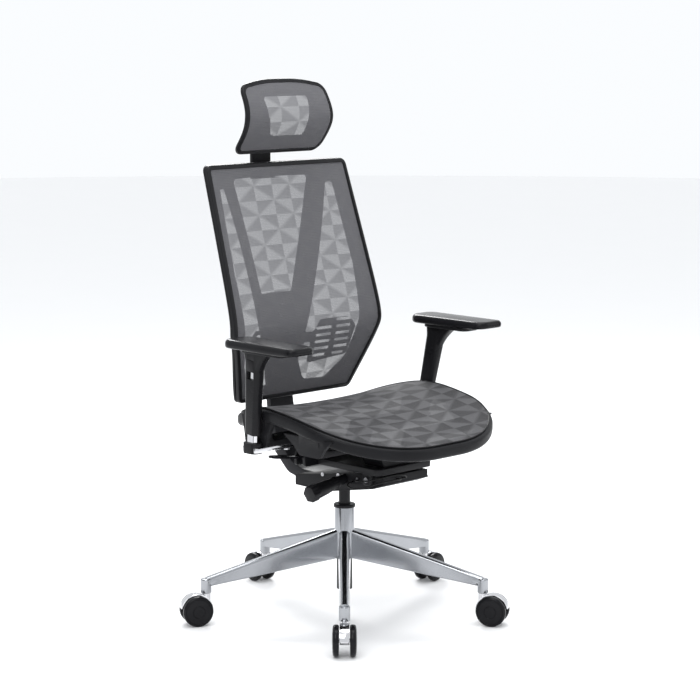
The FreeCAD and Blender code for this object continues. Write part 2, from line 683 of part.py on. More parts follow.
def seat_mesh():
    return seat_slab(seat_mesh_height, MESH_THICKNESS).common(seat_prism(SEAT_MESH_INSET))


def seat_plate():
    """Pressed plate that carries the seat; its lugs hang on the front pivot."""
    half = PLATE_HALF_WIDTH
    corners = [(-half, PLATE_FRONT), (half, PLATE_FRONT), (half, PLATE_BACK), (-half, PLATE_BACK)]
    plate = prism(plan(corners, PLATE_BOTTOM), 14, V(0, 0, PLATE_TOP - PLATE_BOTTOM))
    lug = 8.0
    for hand in (-1, 1):
        near = hand * (HOUSING_HALF_WIDTH + SLIDING)
        far = hand * (HOUSING_HALF_WIDTH + SLIDING + lug)
        outline = [(SEAT_PIVOT_Y - 15, PLATE_BOTTOM), (SEAT_PIVOT_Y - 13, SEAT_PIVOT_Z - 13),
                   (SEAT_PIVOT_Y + 13, SEAT_PIVOT_Z - 13), (SEAT_PIVOT_Y + 15, PLATE_BOTTOM)]
        plate = plate.fuse(prism(side_view(outline, near), [0, 10, 10, 0], V(far - near, 0, 0)))
    return plate.cut(pin(SEAT_PIVOT_Y, SEAT_PIVOT_Z, HOUSING_HALF_WIDTH + 20, PIN_RADIUS + RUNNING))


# ---- lift paddle ----------------------------------------------------------------------------
PADDLE_Y = 12.0
PADDLE_HINGE = (-114.0, 372.0)
PADDLE_HALF = 9.7
PADDLE_TRUNNION = 3.0


def paddle_box():
    outer = PADDLE_HALF + 8
    box = prism(elevation([(-PLATE_HALF_WIDTH, 352), (-124, 352), (-126, 372), (-120, 386),
                           (-PLATE_HALF_WIDTH, 386)], PADDLE_Y - outer), [0, 4, 4, 4, 0],
                V(0, 2 * outer, 0))
    gap = PADDLE_HALF + SLIDING
    box = box.cut(block(-140, -104, PADDLE_Y - gap, PADDLE_Y + gap, 340, 400))
    hinge = V(PADDLE_HINGE[0], PADDLE_Y - outer + 2, PADDLE_HINGE[1])
    return box.cut(cylinder(PADDLE_TRUNNION + RUNNING, 2 * (outer - 2), hinge, BACKWARD))


def lift_paddle():
    x, z = PADDLE_HINGE
    reach = PADDLE_HALF + 5
    hub = cylinder(6.0, 2 * PADDLE_HALF, V(x, PADDLE_Y - PADDLE_HALF, z), BACKWARD)
    trunnions = cylinder(PADDLE_TRUNNION, 2 * reach, V(x, PADDLE_Y - reach, z), BACKWARD)
    neck = prism(elevation([(x, z - 2.5), (x - 26, z + 0.5), (x - 26, z + 5.5), (x, z + 2.5)],
                           PADDLE_Y - PADDLE_HALF), 0, V(0, 2 * PADDLE_HALF, 0))
    outline = [(x - 22, PADDLE_Y - PADDLE_HALF), (x - 34, PADDLE_Y - 15), (x - 98, PADDLE_Y - 13),
               (x - 98, PADDLE_Y + 13), (x - 34, PADDLE_Y + 15), (x - 22, PADDLE_Y + PADDLE_HALF)]
    blade = prism(plan(outline, z), [3, 8, 11, 11, 8, 3], V(0, 0, 4.5))
    blade.rotate(V(x - 22, PADDLE_Y, z), BACKWARD, 7)
    return hub.fuse(trunnions).fuse(neck).fuse(blade).removeSplitter()


# ---- arms (right arm; the left one is its mirror image) -------------------------------------
def post_axis():
    forward = math.radians(POST_LEAN_FORWARD)
    out = math.radians(POST_LEAN_OUT)
    return V(-math.tan(out), -math.tan(forward), 1).normalize()


def on_post(shape):
    """Moves a shape from the post's own frame, with Z up the post, to its place."""
    axis = post_axis()
    side = BACKWARD.cross(axis).normalize()
    depth = axis.cross(side)
    matrix = FreeCAD.Matrix(side.x, depth.x, axis.x, POST_FOOT.x,
                            side.y, depth.y, axis.y, POST_FOOT.y,
                            side.z, depth.z, axis.z, POST_FOOT.z, 0, 0, 0, 1)
    placed = shape.copy()
    placed.Placement = FreeCAD.Placement(matrix)
    return placed


def post_prism(size, radius, bottom, top):
    return Part.Face(section(size[0], size[1], radius, V(0, 0, bottom))).extrude(V(0, 0, top - bottom))


BRACKET_SPAN = (-12.0, 44.0)
BOLT_PLACES = [(hand * x, y) for hand in (-1, 1) for x in (116, 176) for y in (-2, 34)]


def arm_bracket():
    """Steel foot plate with the oval tube welded on it."""
    outer = POST_FOOT.x - 11
    corners = [(outer, BRACKET_SPAN[0]), (-BRACKET_INNER, BRACKET_SPAN[0]),
               (-BRACKET_INNER, BRACKET_SPAN[1]), (outer, BRACKET_SPAN[1] - 6)]
    plate = prism(plan(corners, MEMBER_STEP_Z - BRACKET_THICKNESS), [9, 6, 6, 9],
                  V(0, 0, BRACKET_THICKNESS))
    tube_solid = on_post(post_prism(TUBE_SECTION, 6.9, -30, TUBE_TOP))
    tube_solid = tube_solid.cut(block(-400, 0, -100, 100, 300, MEMBER_STEP_Z - BRACKET_THICKNESS))
    bracket = plate.fuse(tube_solid)
    for x, y in BOLT_PLACES:
        bracket = bracket.cut(cylinder(BOLT_RADIUS, 60, V(x, y, MEMBER_STEP_Z - 30)))
    return bracket


def arm_foot():
    """Plastic shoe round the foot of the tube."""
    low = MEMBER_STEP_Z - BRACKET_THICKNESS - 3
    top = POST_FOOT.z - 2
    centre = V(POST_FOOT.x + 1, POST_FOOT.y + 1, low)
    shoe = Part.Face(section(2 * FOOT_HALF[0], 2 * FOOT_HALF[1], 12, centre)).extrude(V(0, 0, top - low))
    skirt_face = SKIRT_OUTER + SLIDING
    return shoe.cut(arm_bracket()).cut(block(-skirt_face, 0, -100, 100, MEMBER_STEP_Z - 40, 500))


def arm_sleeve():
    """Tapered sleeve that flares forward and backward under the pad."""
    low = section(*SLEEVE_SECTION_LOW, 10, V(0, 0, SLEEVE_BOTTOM))
    high = section(*SLEEVE_SECTION_HIGH, 12, V(0, 0, SLEEVE_LOFT_TOP))
    sleeve = Part.makeLoft([low, high], True, True)
    flare = [section(width, depth, 10, V(0, shift, height)) for width, depth, shift, height in SLEEVE_FLARE]
    sleeve = sleeve.fuse(Part.makeLoft(flare, True, False))
    bore_size = (TUBE_SECTION[0] + 2 * SLIDING, TUBE_SECTION[1] + 2 * SLIDING)
    sleeve = sleeve.cut(post_prism(bore_size, 7, SLEEVE_BOTTOM - 1, SLEEVE_BORE_TOP))
    half = BUTTON_WIDTH / 2 + SLIDING
    window = block(-30, 0, -half, half, WINDOW_BOTTOM, BUTTON_HEIGHTS[1] + SLIDING)
    sleeve = on_post(sleeve.cut(window))
    return sleeve.cut(block(-400, 0, -200, 200, SLEEVE_TOP_Z, 800))


def arm_button():
    share = (BUTTON_HEIGHTS[0] - SLEEVE_BOTTOM) / (SLEEVE_LOFT_TOP - SLEEVE_BOTTOM)
    outside = (SLEEVE_SECTION_LOW[0] + (SLEEVE_SECTION_HIGH[0] - SLEEVE_SECTION_LOW[0]) * share) / 2
    face = -outside - BUTTON_PROUD
    half = BUTTON_WIDTH / 2
    button = block(face, face + BUTTON_THICKNESS, -half, half, *BUTTON_HEIGHTS)
    return on_post(button)


def arm_pad_plate():
    x, y = PAD_CENTRE
    centre = V(x + 5, y + 8, SLEEVE_TOP_Z)
    return Part.Face(section(*PAD_PLATE_SIZE, 16, centre)).extrude(V(0, 0, PAD_PLATE_THICKNESS))


def pad_outline():
    """Pad seen from above: rounder and narrower towards the front inner corner."""
    x, y = PAD_CENTRE
    half_x, half_y = PAD_SIZE[0] / 2, PAD_SIZE[1] / 2
    return [(x - half_x, y - half_y), (x + half_x - 8, y - half_y), (x + half_x, y + half_y),
            (x - half_x + 4, y + half_y)]


def arm_pad():
    bottom = SLEEVE_TOP_Z + PAD_PLATE_THICKNESS + SLIDING
    pad = prism(plan(pad_outline(), bottom), [16, 26, 30, 24], V(0, 0, PAD_THICKNESS))
    top = [edge for edge in pad.Edges if edge.BoundBox.ZMin > bottom + PAD_THICKNESS - 0.1]
    low = [edge for edge in pad.Edges if edge.BoundBox.ZMax < bottom + 0.1]
    return pad.makeFillet(5.0, top).makeFillet(4.0, low)


def arm_bolts():
    """Hex bolts up through the arm brackets into the rear cross member."""
    bolts = []
    for x, y in BOLT_PLACES:
        seat_z = MEMBER_STEP_Z - BRACKET_THICKNESS
        points = [V(x + BOLT_HEAD_RADIUS * math.cos(math.radians(60 * k)),
                    y + BOLT_HEAD_RADIUS * math.sin(math.radians(60 * k)),
                    seat_z - BOLT_HEAD_HEIGHT) for k in range(6)]
        head = Part.Face(Part.makePolygon(points + points[:1])).extrude(V(0, 0, BOLT_HEAD_HEIGHT))
        shank = cylinder(BOLT_RADIUS, BRACKET_THICKNESS + MEMBER_THICKNESS, V(x, y, seat_z))
        bolts.append(head.fuse(shank))
    return bolts


# ---- back -----------------------------------------------------------------------------------
BACK_OUTLINE = mirrored([(BACK_HALF_BOTTOM, BACK_BOTTOM), (BACK_HALF_WIDEST, BACK_WIDEST - 14),
                         (BACK_HALF_TOP, BACK_TOP)])
BACK_CORNER_RADII = [16, 60, 16, 16, 60, 16]


def back_profile(z):
    return LUMBAR_Y + soft_corner(z - LUMBAR_Z, LUMBAR_BLEND, SLOPE_BELOW, SLOPE_ABOVE)


def spine_line(z):
    return SPINE_BOTTOM_Y + SPINE_SLOPE * (z - BACK_BOTTOM)


def back_fraction(z):
    return (z - BACK_BOTTOM) / (BACK_TOP - BACK_BOTTOM)


def frame_front(x, z):
    """Front face of the rear frame: at the rim's depth round the edge, on the spine in the middle."""
    edge = back_profile(z) + RIM_DEPTH
    inward = 0.5 * (1 + math.cos(math.pi * min(1.0, abs(x) / BACK_HALF_WIDEST)))
    lip = 1 - abs(2 * back_fraction(z) - 1) ** FRAME_LIP_POWER
    return edge + (spine_line(z) - edge) * inward * max(0.0, lip)


def mesh_front(x, z):
    across = max(0.0, 1 - (x / BACK_HALF_WIDEST) ** 2)
    upward = max(0.0, 1 - (2 * back_fraction(z) - 1) ** 2)
    return back_profile(z) + BACK_MESH_RECESS + BACK_MESH_DIP * across * upward


def back_slab(front_face, thickness):
    margin = 8.0
    half = BACK_HALF_WIDEST + margin
    return sheet(lambda x, z, y: V(x, y, z), front_face, (-half, half),
                 (BACK_BOTTOM - margin, BACK_TOP + margin), V(0, thickness, 0), (23, 31))


def back_prism(distance):
    outline = inset(BACK_OUTLINE, distance)
    radii = [max(2.0, radius - distance) for radius in BACK_CORNER_RADII]
    return prism(elevation(outline, 0), radii, V(0, 400, 0))


V_WINDOW = [(-48, 705), (48, 705), (115, 968), (-115, 968)]
OUTER_WINDOW = [(50, 503), (112, 503), (158, 548), (178, 640), (183, 766), (173, 950),
                (152, 952), (71, 626), (46, 548)]
OUTER_WINDOW_RADII = [10, 30, 60, 60, 60, 5, 8, 60, 20]


def window(points, radii):
    return prism(elevation(points, 0), radii, V(0, 400, 0))


def back_frame():
    shell = back_slab(frame_front, FRAME_THICKNESS).common(back_prism(0))
    shell = shell.cut(window(V_WINDOW, 8))
    for hand in (1, -1):
        outer = [(hand * x, z) for x, z in OUTER_WINDOW]
        shell = shell.cut(window(outer, OUTER_WINDOW_RADII))
    half = POST_HALF_WIDTH + 6
    post_boss = block(-half, half, POST_FRONT - 8, POST_FRONT, POST_BOTTOM, POST_BOSS_TOP)
    shell = shell.fuse(mounting_boss()).fuse(lumbar_rail()).fuse(post_boss)
    return shell.cut(back_rim()).removeSplitter()


def spine_slab(half_width, front_offset, back_offset, low, high):
    """Plate parallel to the spine, offsets measured from the spine line."""
    corners = [(spine_line(low) + front_offset, low), (spine_line(low) + back_offset, low),
               (spine_line(high) + back_offset, high), (spine_line(high) + front_offset, high)]
    return prism(side_view(corners, -half_width), 0, V(2 * half_width, 0, 0))


def mounting_boss():
    return spine_slab(BRACKET_HALF_WIDTH + 5, 3, FRAME_THICKNESS + BOSS_THICKNESS, 500, 584)


def lumbar_rail():
    front = spine_line(LUMBAR_Z) - 26
    rail = block(-RAIL_HALF_WIDTH, RAIL_HALF_WIDTH, front, front + 60, WING_BOTTOM + 22, WING_TOP + 34)
    behind = spine_slab(60, FRAME_THICKNESS * 0.5, 120, WING_BOTTOM - 60, WING_TOP + 90)
    return rail.cut(behind)


def back_rim():
    ring = back_slab(lambda x, z: back_profile(z), RIM_DEPTH)
    ring = ring.common(back_prism(0)).cut(back_prism(RIM_WIDTH))
    front = [edge for edge in rim_edges(ring, back_prism(0), BACKWARD)
             if edge.CenterOfMass.y < back_profile(edge.CenterOfMass.z) + RIM_DEPTH / 2]
    return ring.makeFillet(RIM_ROUND, front)


def back_mesh():
    return back_slab(mesh_front, MESH_THICKNESS).common(back_prism(RIM_WIDTH))


def back_bracket():
    """Curved bar from the recline pivot up behind the back."""
    face = FRAME_THICKNESS + BOSS_THICKNESS
    low, high = 452.0, 584.0
    inner = [(spine_line(high) + face, high), (spine_line(low) + face, low), (188, 380), (136, 330),
             (HOUSING_BACK + 14, 318), (RECLINE_Y - 12, 317)]
    outer = [(RECLINE_Y - 12, 293), (HOUSING_BACK + 20, 294), (150, 304), (212, 362),
             (spine_line(low) + face + 16, low), (spine_line(high) + face + 10, high)]
    corners = side_view(inner + outer, -BRACKET_HALF_WIDTH)
    radii = [0, 60, 30, 30, 20, 8, 8, 20, 40, 40, 60, 4]
    bar = prism(corners, radii, V(2 * BRACKET_HALF_WIDTH, 0, 0))
    return bar.cut(pin(RECLINE_Y, RECLINE_Z, BRACKET_HALF_WIDTH + 2, PIN_RADIUS + RUNNING))


# ---- lumbar support -------------------------------------------------------------------------
def wing_front(x, z):
    return mesh_front(x, z) + WING_BEHIND_MESH


def lumbar_wings():
    """Two slotted pads that press the mesh forward from behind."""
    slab = back_slab(wing_front, WING_THICKNESS)
    wings = []
    for hand in (1, -1):
        outline = [(WING_INNER, WING_BOTTOM), (WING_OUTER - 14, WING_BOTTOM + 10),
                   (WING_OUTER, WING_TOP - 22), (WING_OUTER - 20, WING_TOP), (WING_INNER + 26, WING_TOP),
                   (WING_INNER, WING_TOP - 34)]
        wing = slab.common(window([(hand * x, z) for x, z in outline], [6, 10, 14, 10, 10, 10]))
        first = WING_BOTTOM + 12
        rows = int((WING_TOP - WING_BOTTOM - 20) / SLOT_PITCH) + 1
        for row in range(rows):
            z = first + row * SLOT_PITCH
            for inner, outer in ((WING_INNER + 10, 90), (100, WING_OUTER - 12)):
                if row == rows - 1 and inner < 60:
                    continue
                end = outer - 8 if row == 0 else outer
                slot = [(inner, z), (end, z), (end, z + SLOT_HEIGHT), (inner, z + SLOT_HEIGHT)]
                wing = wing.cut(window([(hand * x, height) for x, height in slot], SLOT_HEIGHT * 0.45))
        wings.append(wing)
    return wings


def lumbar_bridge():
    """Carriage on the rail of the rear frame; its bar joins the two wings."""
    low, high = WING_BOTTOM + 36, WING_TOP - 14
    middle = (low + high) / 2
    rail_front = spine_line(LUMBAR_Z) - 26
    gap = SLIDING
    carriage = block(-18, 18, rail_front - 10, rail_front + 12, low, high)
    carriage = carriage.cut(block(-RAIL_HALF_WIDTH - gap, RAIL_HALF_WIDTH + gap, rail_front - gap,
                                  rail_front + 40, low - 1, high + 1))
    stalk = block(-12, 12, 120, rail_front - 10 + 1, middle - 16, middle + 16)
    bar = block(-WING_INNER - 14, WING_INNER + 14, 120, 220, middle - 12, middle + 12)
    front = back_slab(lambda x, z: wing_front(x, z) + WING_THICKNESS, 160)
    thick = back_slab(lambda x, z: wing_front(x, z) + WING_THICKNESS, 8)
    return carriage.fuse(stalk.common(front)).fuse(bar.common(thick)).removeSplitter()


# ---- headrest -------------------------------------------------------------------------------
HEAD_OUTLINE = mirrored([(HEAD_HALF_WIDTH - 3, HEAD_BOTTOM), (HEAD_HALF_WIDTH, HEAD_ROLL_Z),
                         (HEAD_HALF_WIDTH - 6, HEAD_TOP - 13), (54, HEAD_TOP)])
HEAD_CORNER_RADII = [24, 180, 26, 380, 380, 26, 180, 24]
HEAD_WINDOW = [(-58, HEAD_BOTTOM + 40), (58, HEAD_BOTTOM + 40), (69, HEAD_TOP - 38), (-69, HEAD_TOP - 38)]


def head_profile(z):
    return HEAD_ROLL_Y + soft_corner(z - HEAD_ROLL_Z, HEAD_BLEND, HEAD_SLOPE_BELOW, HEAD_SLOPE_ABOVE)


def head_slab(offset, thickness):
    margin = 6.0
    half = HEAD_HALF_WIDTH + margin
    return sheet(lambda x, z, y: V(x, y, z), lambda x, z: head_profile(z) + offset, (-half, half),
                 (HEAD_BOTTOM - margin, HEAD_TOP + margin), V(0, thickness, 0), (5, 31))


def head_prism(distance):
    outline = inset(HEAD_OUTLINE, distance)
    radii = [max(2.0, radius - distance) for radius in HEAD_CORNER_RADII]
    return prism(elevation(outline, 0), radii, V(0, 500, 0))


def headrest_frame():
    shell_start = HEAD_MESH_RECESS + MESH_THICKNESS
    shell = head_slab(shell_start, HEAD_SHELL).common(head_prism(0))
    shell = shell.cut(window(HEAD_WINDOW, 8))
    ring = head_slab(0, shell_start + HEAD_SHELL).common(head_prism(0)).cut(head_prism(HEAD_RIM))
    frame = shell.fuse(ring).removeSplitter()
    frame = frame.makeFillet(HEAD_ROUND, rim_edges(frame, head_prism(0), BACKWARD))
    behind = head_slab(shell_start + 1, 200)
    crossbar = block(-72, 72, 150, HEAD_PIVOT_Y - 14, HEAD_PIVOT_Z - 11, HEAD_PIVOT_Z + 11)
    frame = frame.fuse(crossbar.common(behind))
    for hand in (-1, 1):
        inner, outer = sorted((hand * (POST_HALF_WIDTH + SLIDING),
                               hand * (POST_HALF_WIDTH + SLIDING + LUG_THICKNESS)))
        lug = block(inner, outer, 150, HEAD_PIVOT_Y, HEAD_PIVOT_Z - 11, HEAD_PIVOT_Z + 11)
        nose = cylinder(11, LUG_THICKNESS, V(inner, HEAD_PIVOT_Y, HEAD_PIVOT_Z), ACROSS)
        frame = frame.fuse(lug.common(behind)).fuse(nose)
    frame = frame.cut(pin(HEAD_PIVOT_Y, HEAD_PIVOT_Z, POST_HALF_WIDTH + 20, PIN_RADIUS + RUNNING))
    return frame.removeSplitter()


def headrest_mesh():
    return head_slab(HEAD_MESH_RECESS, MESH_THICKNESS).common(head_prism(HEAD_RIM))


def headrest_post():
    """Flat bar that stands on the boss behind the top of the frame."""
    return section_bar(0, POST_BOTTOM, POST_TOP)


def section_bar(gap, low, high):
    width = 2 * (POST_HALF_WIDTH + gap)
    depth = POST_THICKNESS + 2 * gap
    centre = V(0, POST_FRONT + POST_THICKNESS / 2, low)
    return Part.Face(section(width, depth, 2.0 + gap, centre)).extrude(V(0, 0, high - low))


def headrest_slider():
    """Sleeve round the post with an arm that reaches forward to the headrest's pivot."""
    sleeve = section_bar(SLIDING + SLIDER_WALL, SLIDER_BOTTOM, SLIDER_TOP)
    front = POST_FRONT - SLIDING - 1
    arm = prism(side_view([(front, SLIDER_BOTTOM + 2), (front, SLIDER_TOP - 2),
                           (HEAD_PIVOT_Y, HEAD_PIVOT_Z + 10), (HEAD_PIVOT_Y - 6, HEAD_PIVOT_Z - 8)],
                          -POST_HALF_WIDTH), [0, 0, 4, 4], V(2 * POST_HALF_WIDTH, 0, 0))
    nose = cylinder(10, 2 * POST_HALF_WIDTH, V(-POST_HALF_WIDTH, HEAD_PIVOT_Y, HEAD_PIVOT_Z), ACROSS)
    slider = sleeve.fuse(arm).fuse(nose)
    slider = slider.cut(section_bar(SLIDING, SLIDER_BOTTOM - 1, SLIDER_TOP + 1))
    return slider.cut(pin(HEAD_PIVOT_Y, HEAD_PIVOT_Z, POST_HALF_WIDTH + 2, PIN_RADIUS)).removeSplitter()


# ---- assembly -------------------------------------------------------------------------------
def build():
    nodes = {"base_star": base_star(), "lift_column": lift_column(), "lift_collar": lift_collar(),
             "caster_stems": caster_stems(), "lift_rod": lift_rod()}
    for index in range(LEG_COUNT):
        number = str(index + 1)
        nodes["caster_fork_" + number] = caster_fork(index)
        nodes["caster_axle_" + number] = caster_axle(index)
        nodes["caster_wheel_a_" + number] = caster_wheel(index, -1)
        nodes["caster_wheel_b_" + number] = caster_wheel(index, 1)
    nodes["mechanism_housing"] = mechanism_housing()
    nodes["mechanism_cover"] = mechanism_cover()
    nodes["pivot_pins"] = [pin(RECLINE_Y, RECLINE_Z, BRACKET_HALF_WIDTH + SLIDING + 8, PIN_RADIUS),
                           pin(SEAT_PIVOT_Y, SEAT_PIVOT_Z, HOUSING_HALF_WIDTH + 11, PIN_RADIUS)]
    nodes["tilt_spring"] = tilt_spring()
    nodes["control_handle"] = control_handle()
    nodes["tension_knob"] = tension_knob()
    nodes["control_cables"] = control_cables()
    nodes["seat_plate"] = seat_plate()
    nodes["seat_frame"] = seat_frame()
    nodes["seat_mesh"] = seat_mesh()
    nodes["paddle_box"] = paddle_box()
    nodes["lift_paddle"] = lift_paddle()
    nodes["arm_bolts"] = arm_bolts()
    right_foot = arm_foot()
    nodes["arm_feet"] = [right_foot, right_foot.mirror(V(0, 0, 0), ACROSS)]
    arm_pieces = {"arm_bracket": arm_bracket, "arm_sleeve": arm_sleeve, "arm_button": arm_button,
                  "arm_pad_plate": arm_pad_plate, "arm_pad": arm_pad}
    for name, make in arm_pieces.items():
        piece = make()
        nodes[name + "_right"] = piece
        nodes[name + "_left"] = piece.mirror(V(0, 0, 0), ACROSS)
    nodes["back_bracket"] = back_bracket()
    nodes["back_frame"] = back_frame()
    nodes["back_rim"] = back_rim()
    nodes["back_mesh"] = back_mesh()
    nodes["lumbar_wings"] = lumbar_wings()
    nodes["lumbar_bridge"] = lumbar_bridge()
    nodes["headrest_post"] = headrest_post()
    nodes["headrest_slider"] = headrest_slider()
    nodes["headrest_pin"] = pin(HEAD_PIVOT_Y, HEAD_PIVOT_Z, POST_HALF_WIDTH + SLIDING + LUG_THICKNESS,
                                PIN_RADIUS)
    nodes["headrest_frame"] = headrest_frame()
    nodes["headrest_mesh"] = headrest_mesh()
    return nodes


def export(nodes):
    os.makedirs("parts", exist_ok=True)
    for name, shape in nodes.items():
        shapes = shape if isinstance(shape, list) else [shape]
        solids = [solid for item in shapes for solid in item.Solids]
        if not solids or not all(solid.isValid() for solid in solids):
            raise ValueError("no valid solid in " + name)
        whole = solids[0] if len(solids) == 1 else Part.makeCompound(solids)
        whole.exportStep("parts/" + name + ".step")
        print("%-22s %d solid(s) %10.0f mm3" % (name, len(solids), whole.Volume))


export(build())
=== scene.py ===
"""Looks of an ergonomic mesh task chair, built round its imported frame.

Metres, +Z up, the sitter faces -Y and the sitter's left is +X.
"""
import json
import math

import bmesh
import bpy
from mathutils import Matrix, Vector
from mathutils.bvhtree import BVHTree


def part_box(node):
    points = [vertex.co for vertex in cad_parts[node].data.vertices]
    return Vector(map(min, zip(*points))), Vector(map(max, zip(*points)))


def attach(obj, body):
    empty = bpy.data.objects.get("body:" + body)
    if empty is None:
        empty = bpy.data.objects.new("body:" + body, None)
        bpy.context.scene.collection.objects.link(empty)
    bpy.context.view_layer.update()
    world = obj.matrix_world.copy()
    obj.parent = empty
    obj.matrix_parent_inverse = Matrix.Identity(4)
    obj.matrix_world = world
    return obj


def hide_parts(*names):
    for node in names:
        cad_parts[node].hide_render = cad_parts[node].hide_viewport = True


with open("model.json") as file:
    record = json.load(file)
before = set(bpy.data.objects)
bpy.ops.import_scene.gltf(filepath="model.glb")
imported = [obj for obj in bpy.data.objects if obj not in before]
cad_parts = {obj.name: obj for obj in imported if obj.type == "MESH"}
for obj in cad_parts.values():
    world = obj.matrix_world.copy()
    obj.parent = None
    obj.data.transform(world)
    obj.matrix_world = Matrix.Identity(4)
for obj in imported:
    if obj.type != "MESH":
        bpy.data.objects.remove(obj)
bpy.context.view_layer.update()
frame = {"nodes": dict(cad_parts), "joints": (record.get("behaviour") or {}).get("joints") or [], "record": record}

bl_info = {
    "name": "Mesh Task Chair",
    "version": (1, 0, 0),
    "blender": (4, 5, 0),
    "location": "3D View > Sidebar > Chair",
    "description": "Builds the visible pieces and finishes of a mesh task chair",
    "category": "Object",
}

SLOT_OF = {part["node"]: part["material_slot"] for part in frame["record"]["subparts"]}
BODY_OF = {node: name for name, nodes in frame["record"]["behaviour"]["bodies"].items() for node in nodes}
JOINT = {joint["name"]: joint for joint in frame["joints"]}
FINISHES = {}


# ---- settings --------------------------------------------------------------------------------
class ChairSizes(bpy.types.PropertyGroup):
    """Sizes of the soft pieces and small details."""

    triangle_width: bpy.props.FloatProperty(
        name="Triangle width", description="Width of one triangle of the knitted pattern",
        default=0.054, unit="LENGTH", subtype="DISTANCE")
    triangle_height: bpy.props.FloatProperty(
        name="Triangle height", description="Height of one triangle of the knitted pattern",
        default=0.034, unit="LENGTH", subtype="DISTANCE")
    stitch_pitch: bpy.props.FloatProperty(
        name="Stitch pitch", description="Distance between the rows of holes in the knit",
        default=0.0036, unit="LENGTH", subtype="DISTANCE")
    piping_radius: bpy.props.FloatProperty(
        name="Piping radius", description="Radius of the cord that locks each cover in its frame",
        default=0.0016, unit="LENGTH", subtype="DISTANCE")
    pad_crown: bpy.props.FloatProperty(
        name="Pad crown", description="How much the middle of an arm pad stands above its edge",
        default=0.0016, unit="LENGTH", subtype="DISTANCE")
    edge_round: bpy.props.FloatProperty(
        name="Edge rounding", description="Bevel on the edges of moulded and pressed pieces",
        default=0.0012, unit="LENGTH", subtype="DISTANCE")
    grip_ribs: bpy.props.IntProperty(
        name="Grip ribs", description="Ribs round the sleeve of the tension handle", default=18, min=4)


class ChairColours(bpy.types.PropertyGroup):
    """Colours that a maker would offer."""

    knit_light: bpy.props.FloatVectorProperty(
        name="Knit, light", description="Colour of the open triangles of the knit",
        default=(0.142, 0.141, 0.150), subtype="COLOR", size=3, min=0, max=1)
    knit_dark: bpy.props.FloatVectorProperty(
        name="Knit, dark", description="Colour of the dense triangles of the knit",
        default=(0.112, 0.111, 0.120), subtype="COLOR", size=3, min=0, max=1)
    plastic: bpy.props.FloatVectorProperty(
        name="Frame plastic", description="Colour of the moulded frames",
        default=(0.005, 0.005, 0.006), subtype="COLOR", size=3, min=0, max=1)
    floor: bpy.props.FloatVectorProperty(
        name="Floor", description="Colour of the floor and the backdrop",
        default=(0.95, 0.95, 0.955), subtype="COLOR", size=3, min=0, max=1)


# ---- material recipes ------------------------------------------------------------------------
class Term:
    """A number or a node's output; arithmetic on it adds Math nodes to its recipe."""

    def __init__(self, recipe, source):
        self.recipe = recipe
        self.source = source

    def _math(self, operation, first, second=None):
        inputs = {0: first} if second is None else {0: first, 1: second}
        return self.recipe.node("ShaderNodeMath", {"operation": operation}, inputs)

    def __add__(self, other):
        return self._math("ADD", self, other)

    def __radd__(self, other):
        return self._math("ADD", other, self)

    def __sub__(self, other):
        return self._math("SUBTRACT", self, other)

    def __rsub__(self, other):
        return self._math("SUBTRACT", other, self)

    def __mul__(self, other):
        return self._math("MULTIPLY", self, other)

    def __rmul__(self, other):
        return self._math("MULTIPLY", other, self)

    def __truediv__(self, other):
        return self._math("DIVIDE", self, other)

    def __abs__(self):
        return self._math("ABSOLUTE", self)

    def sine(self):
        return self._math("SINE", self)

    def floor(self):
        return self._math("FLOOR", self)

    def fraction(self):
        return self._math("FRACT", self)

    def clamped(self):
        return self.recipe.node("ShaderNodeClamp", {}, {"Value": self})


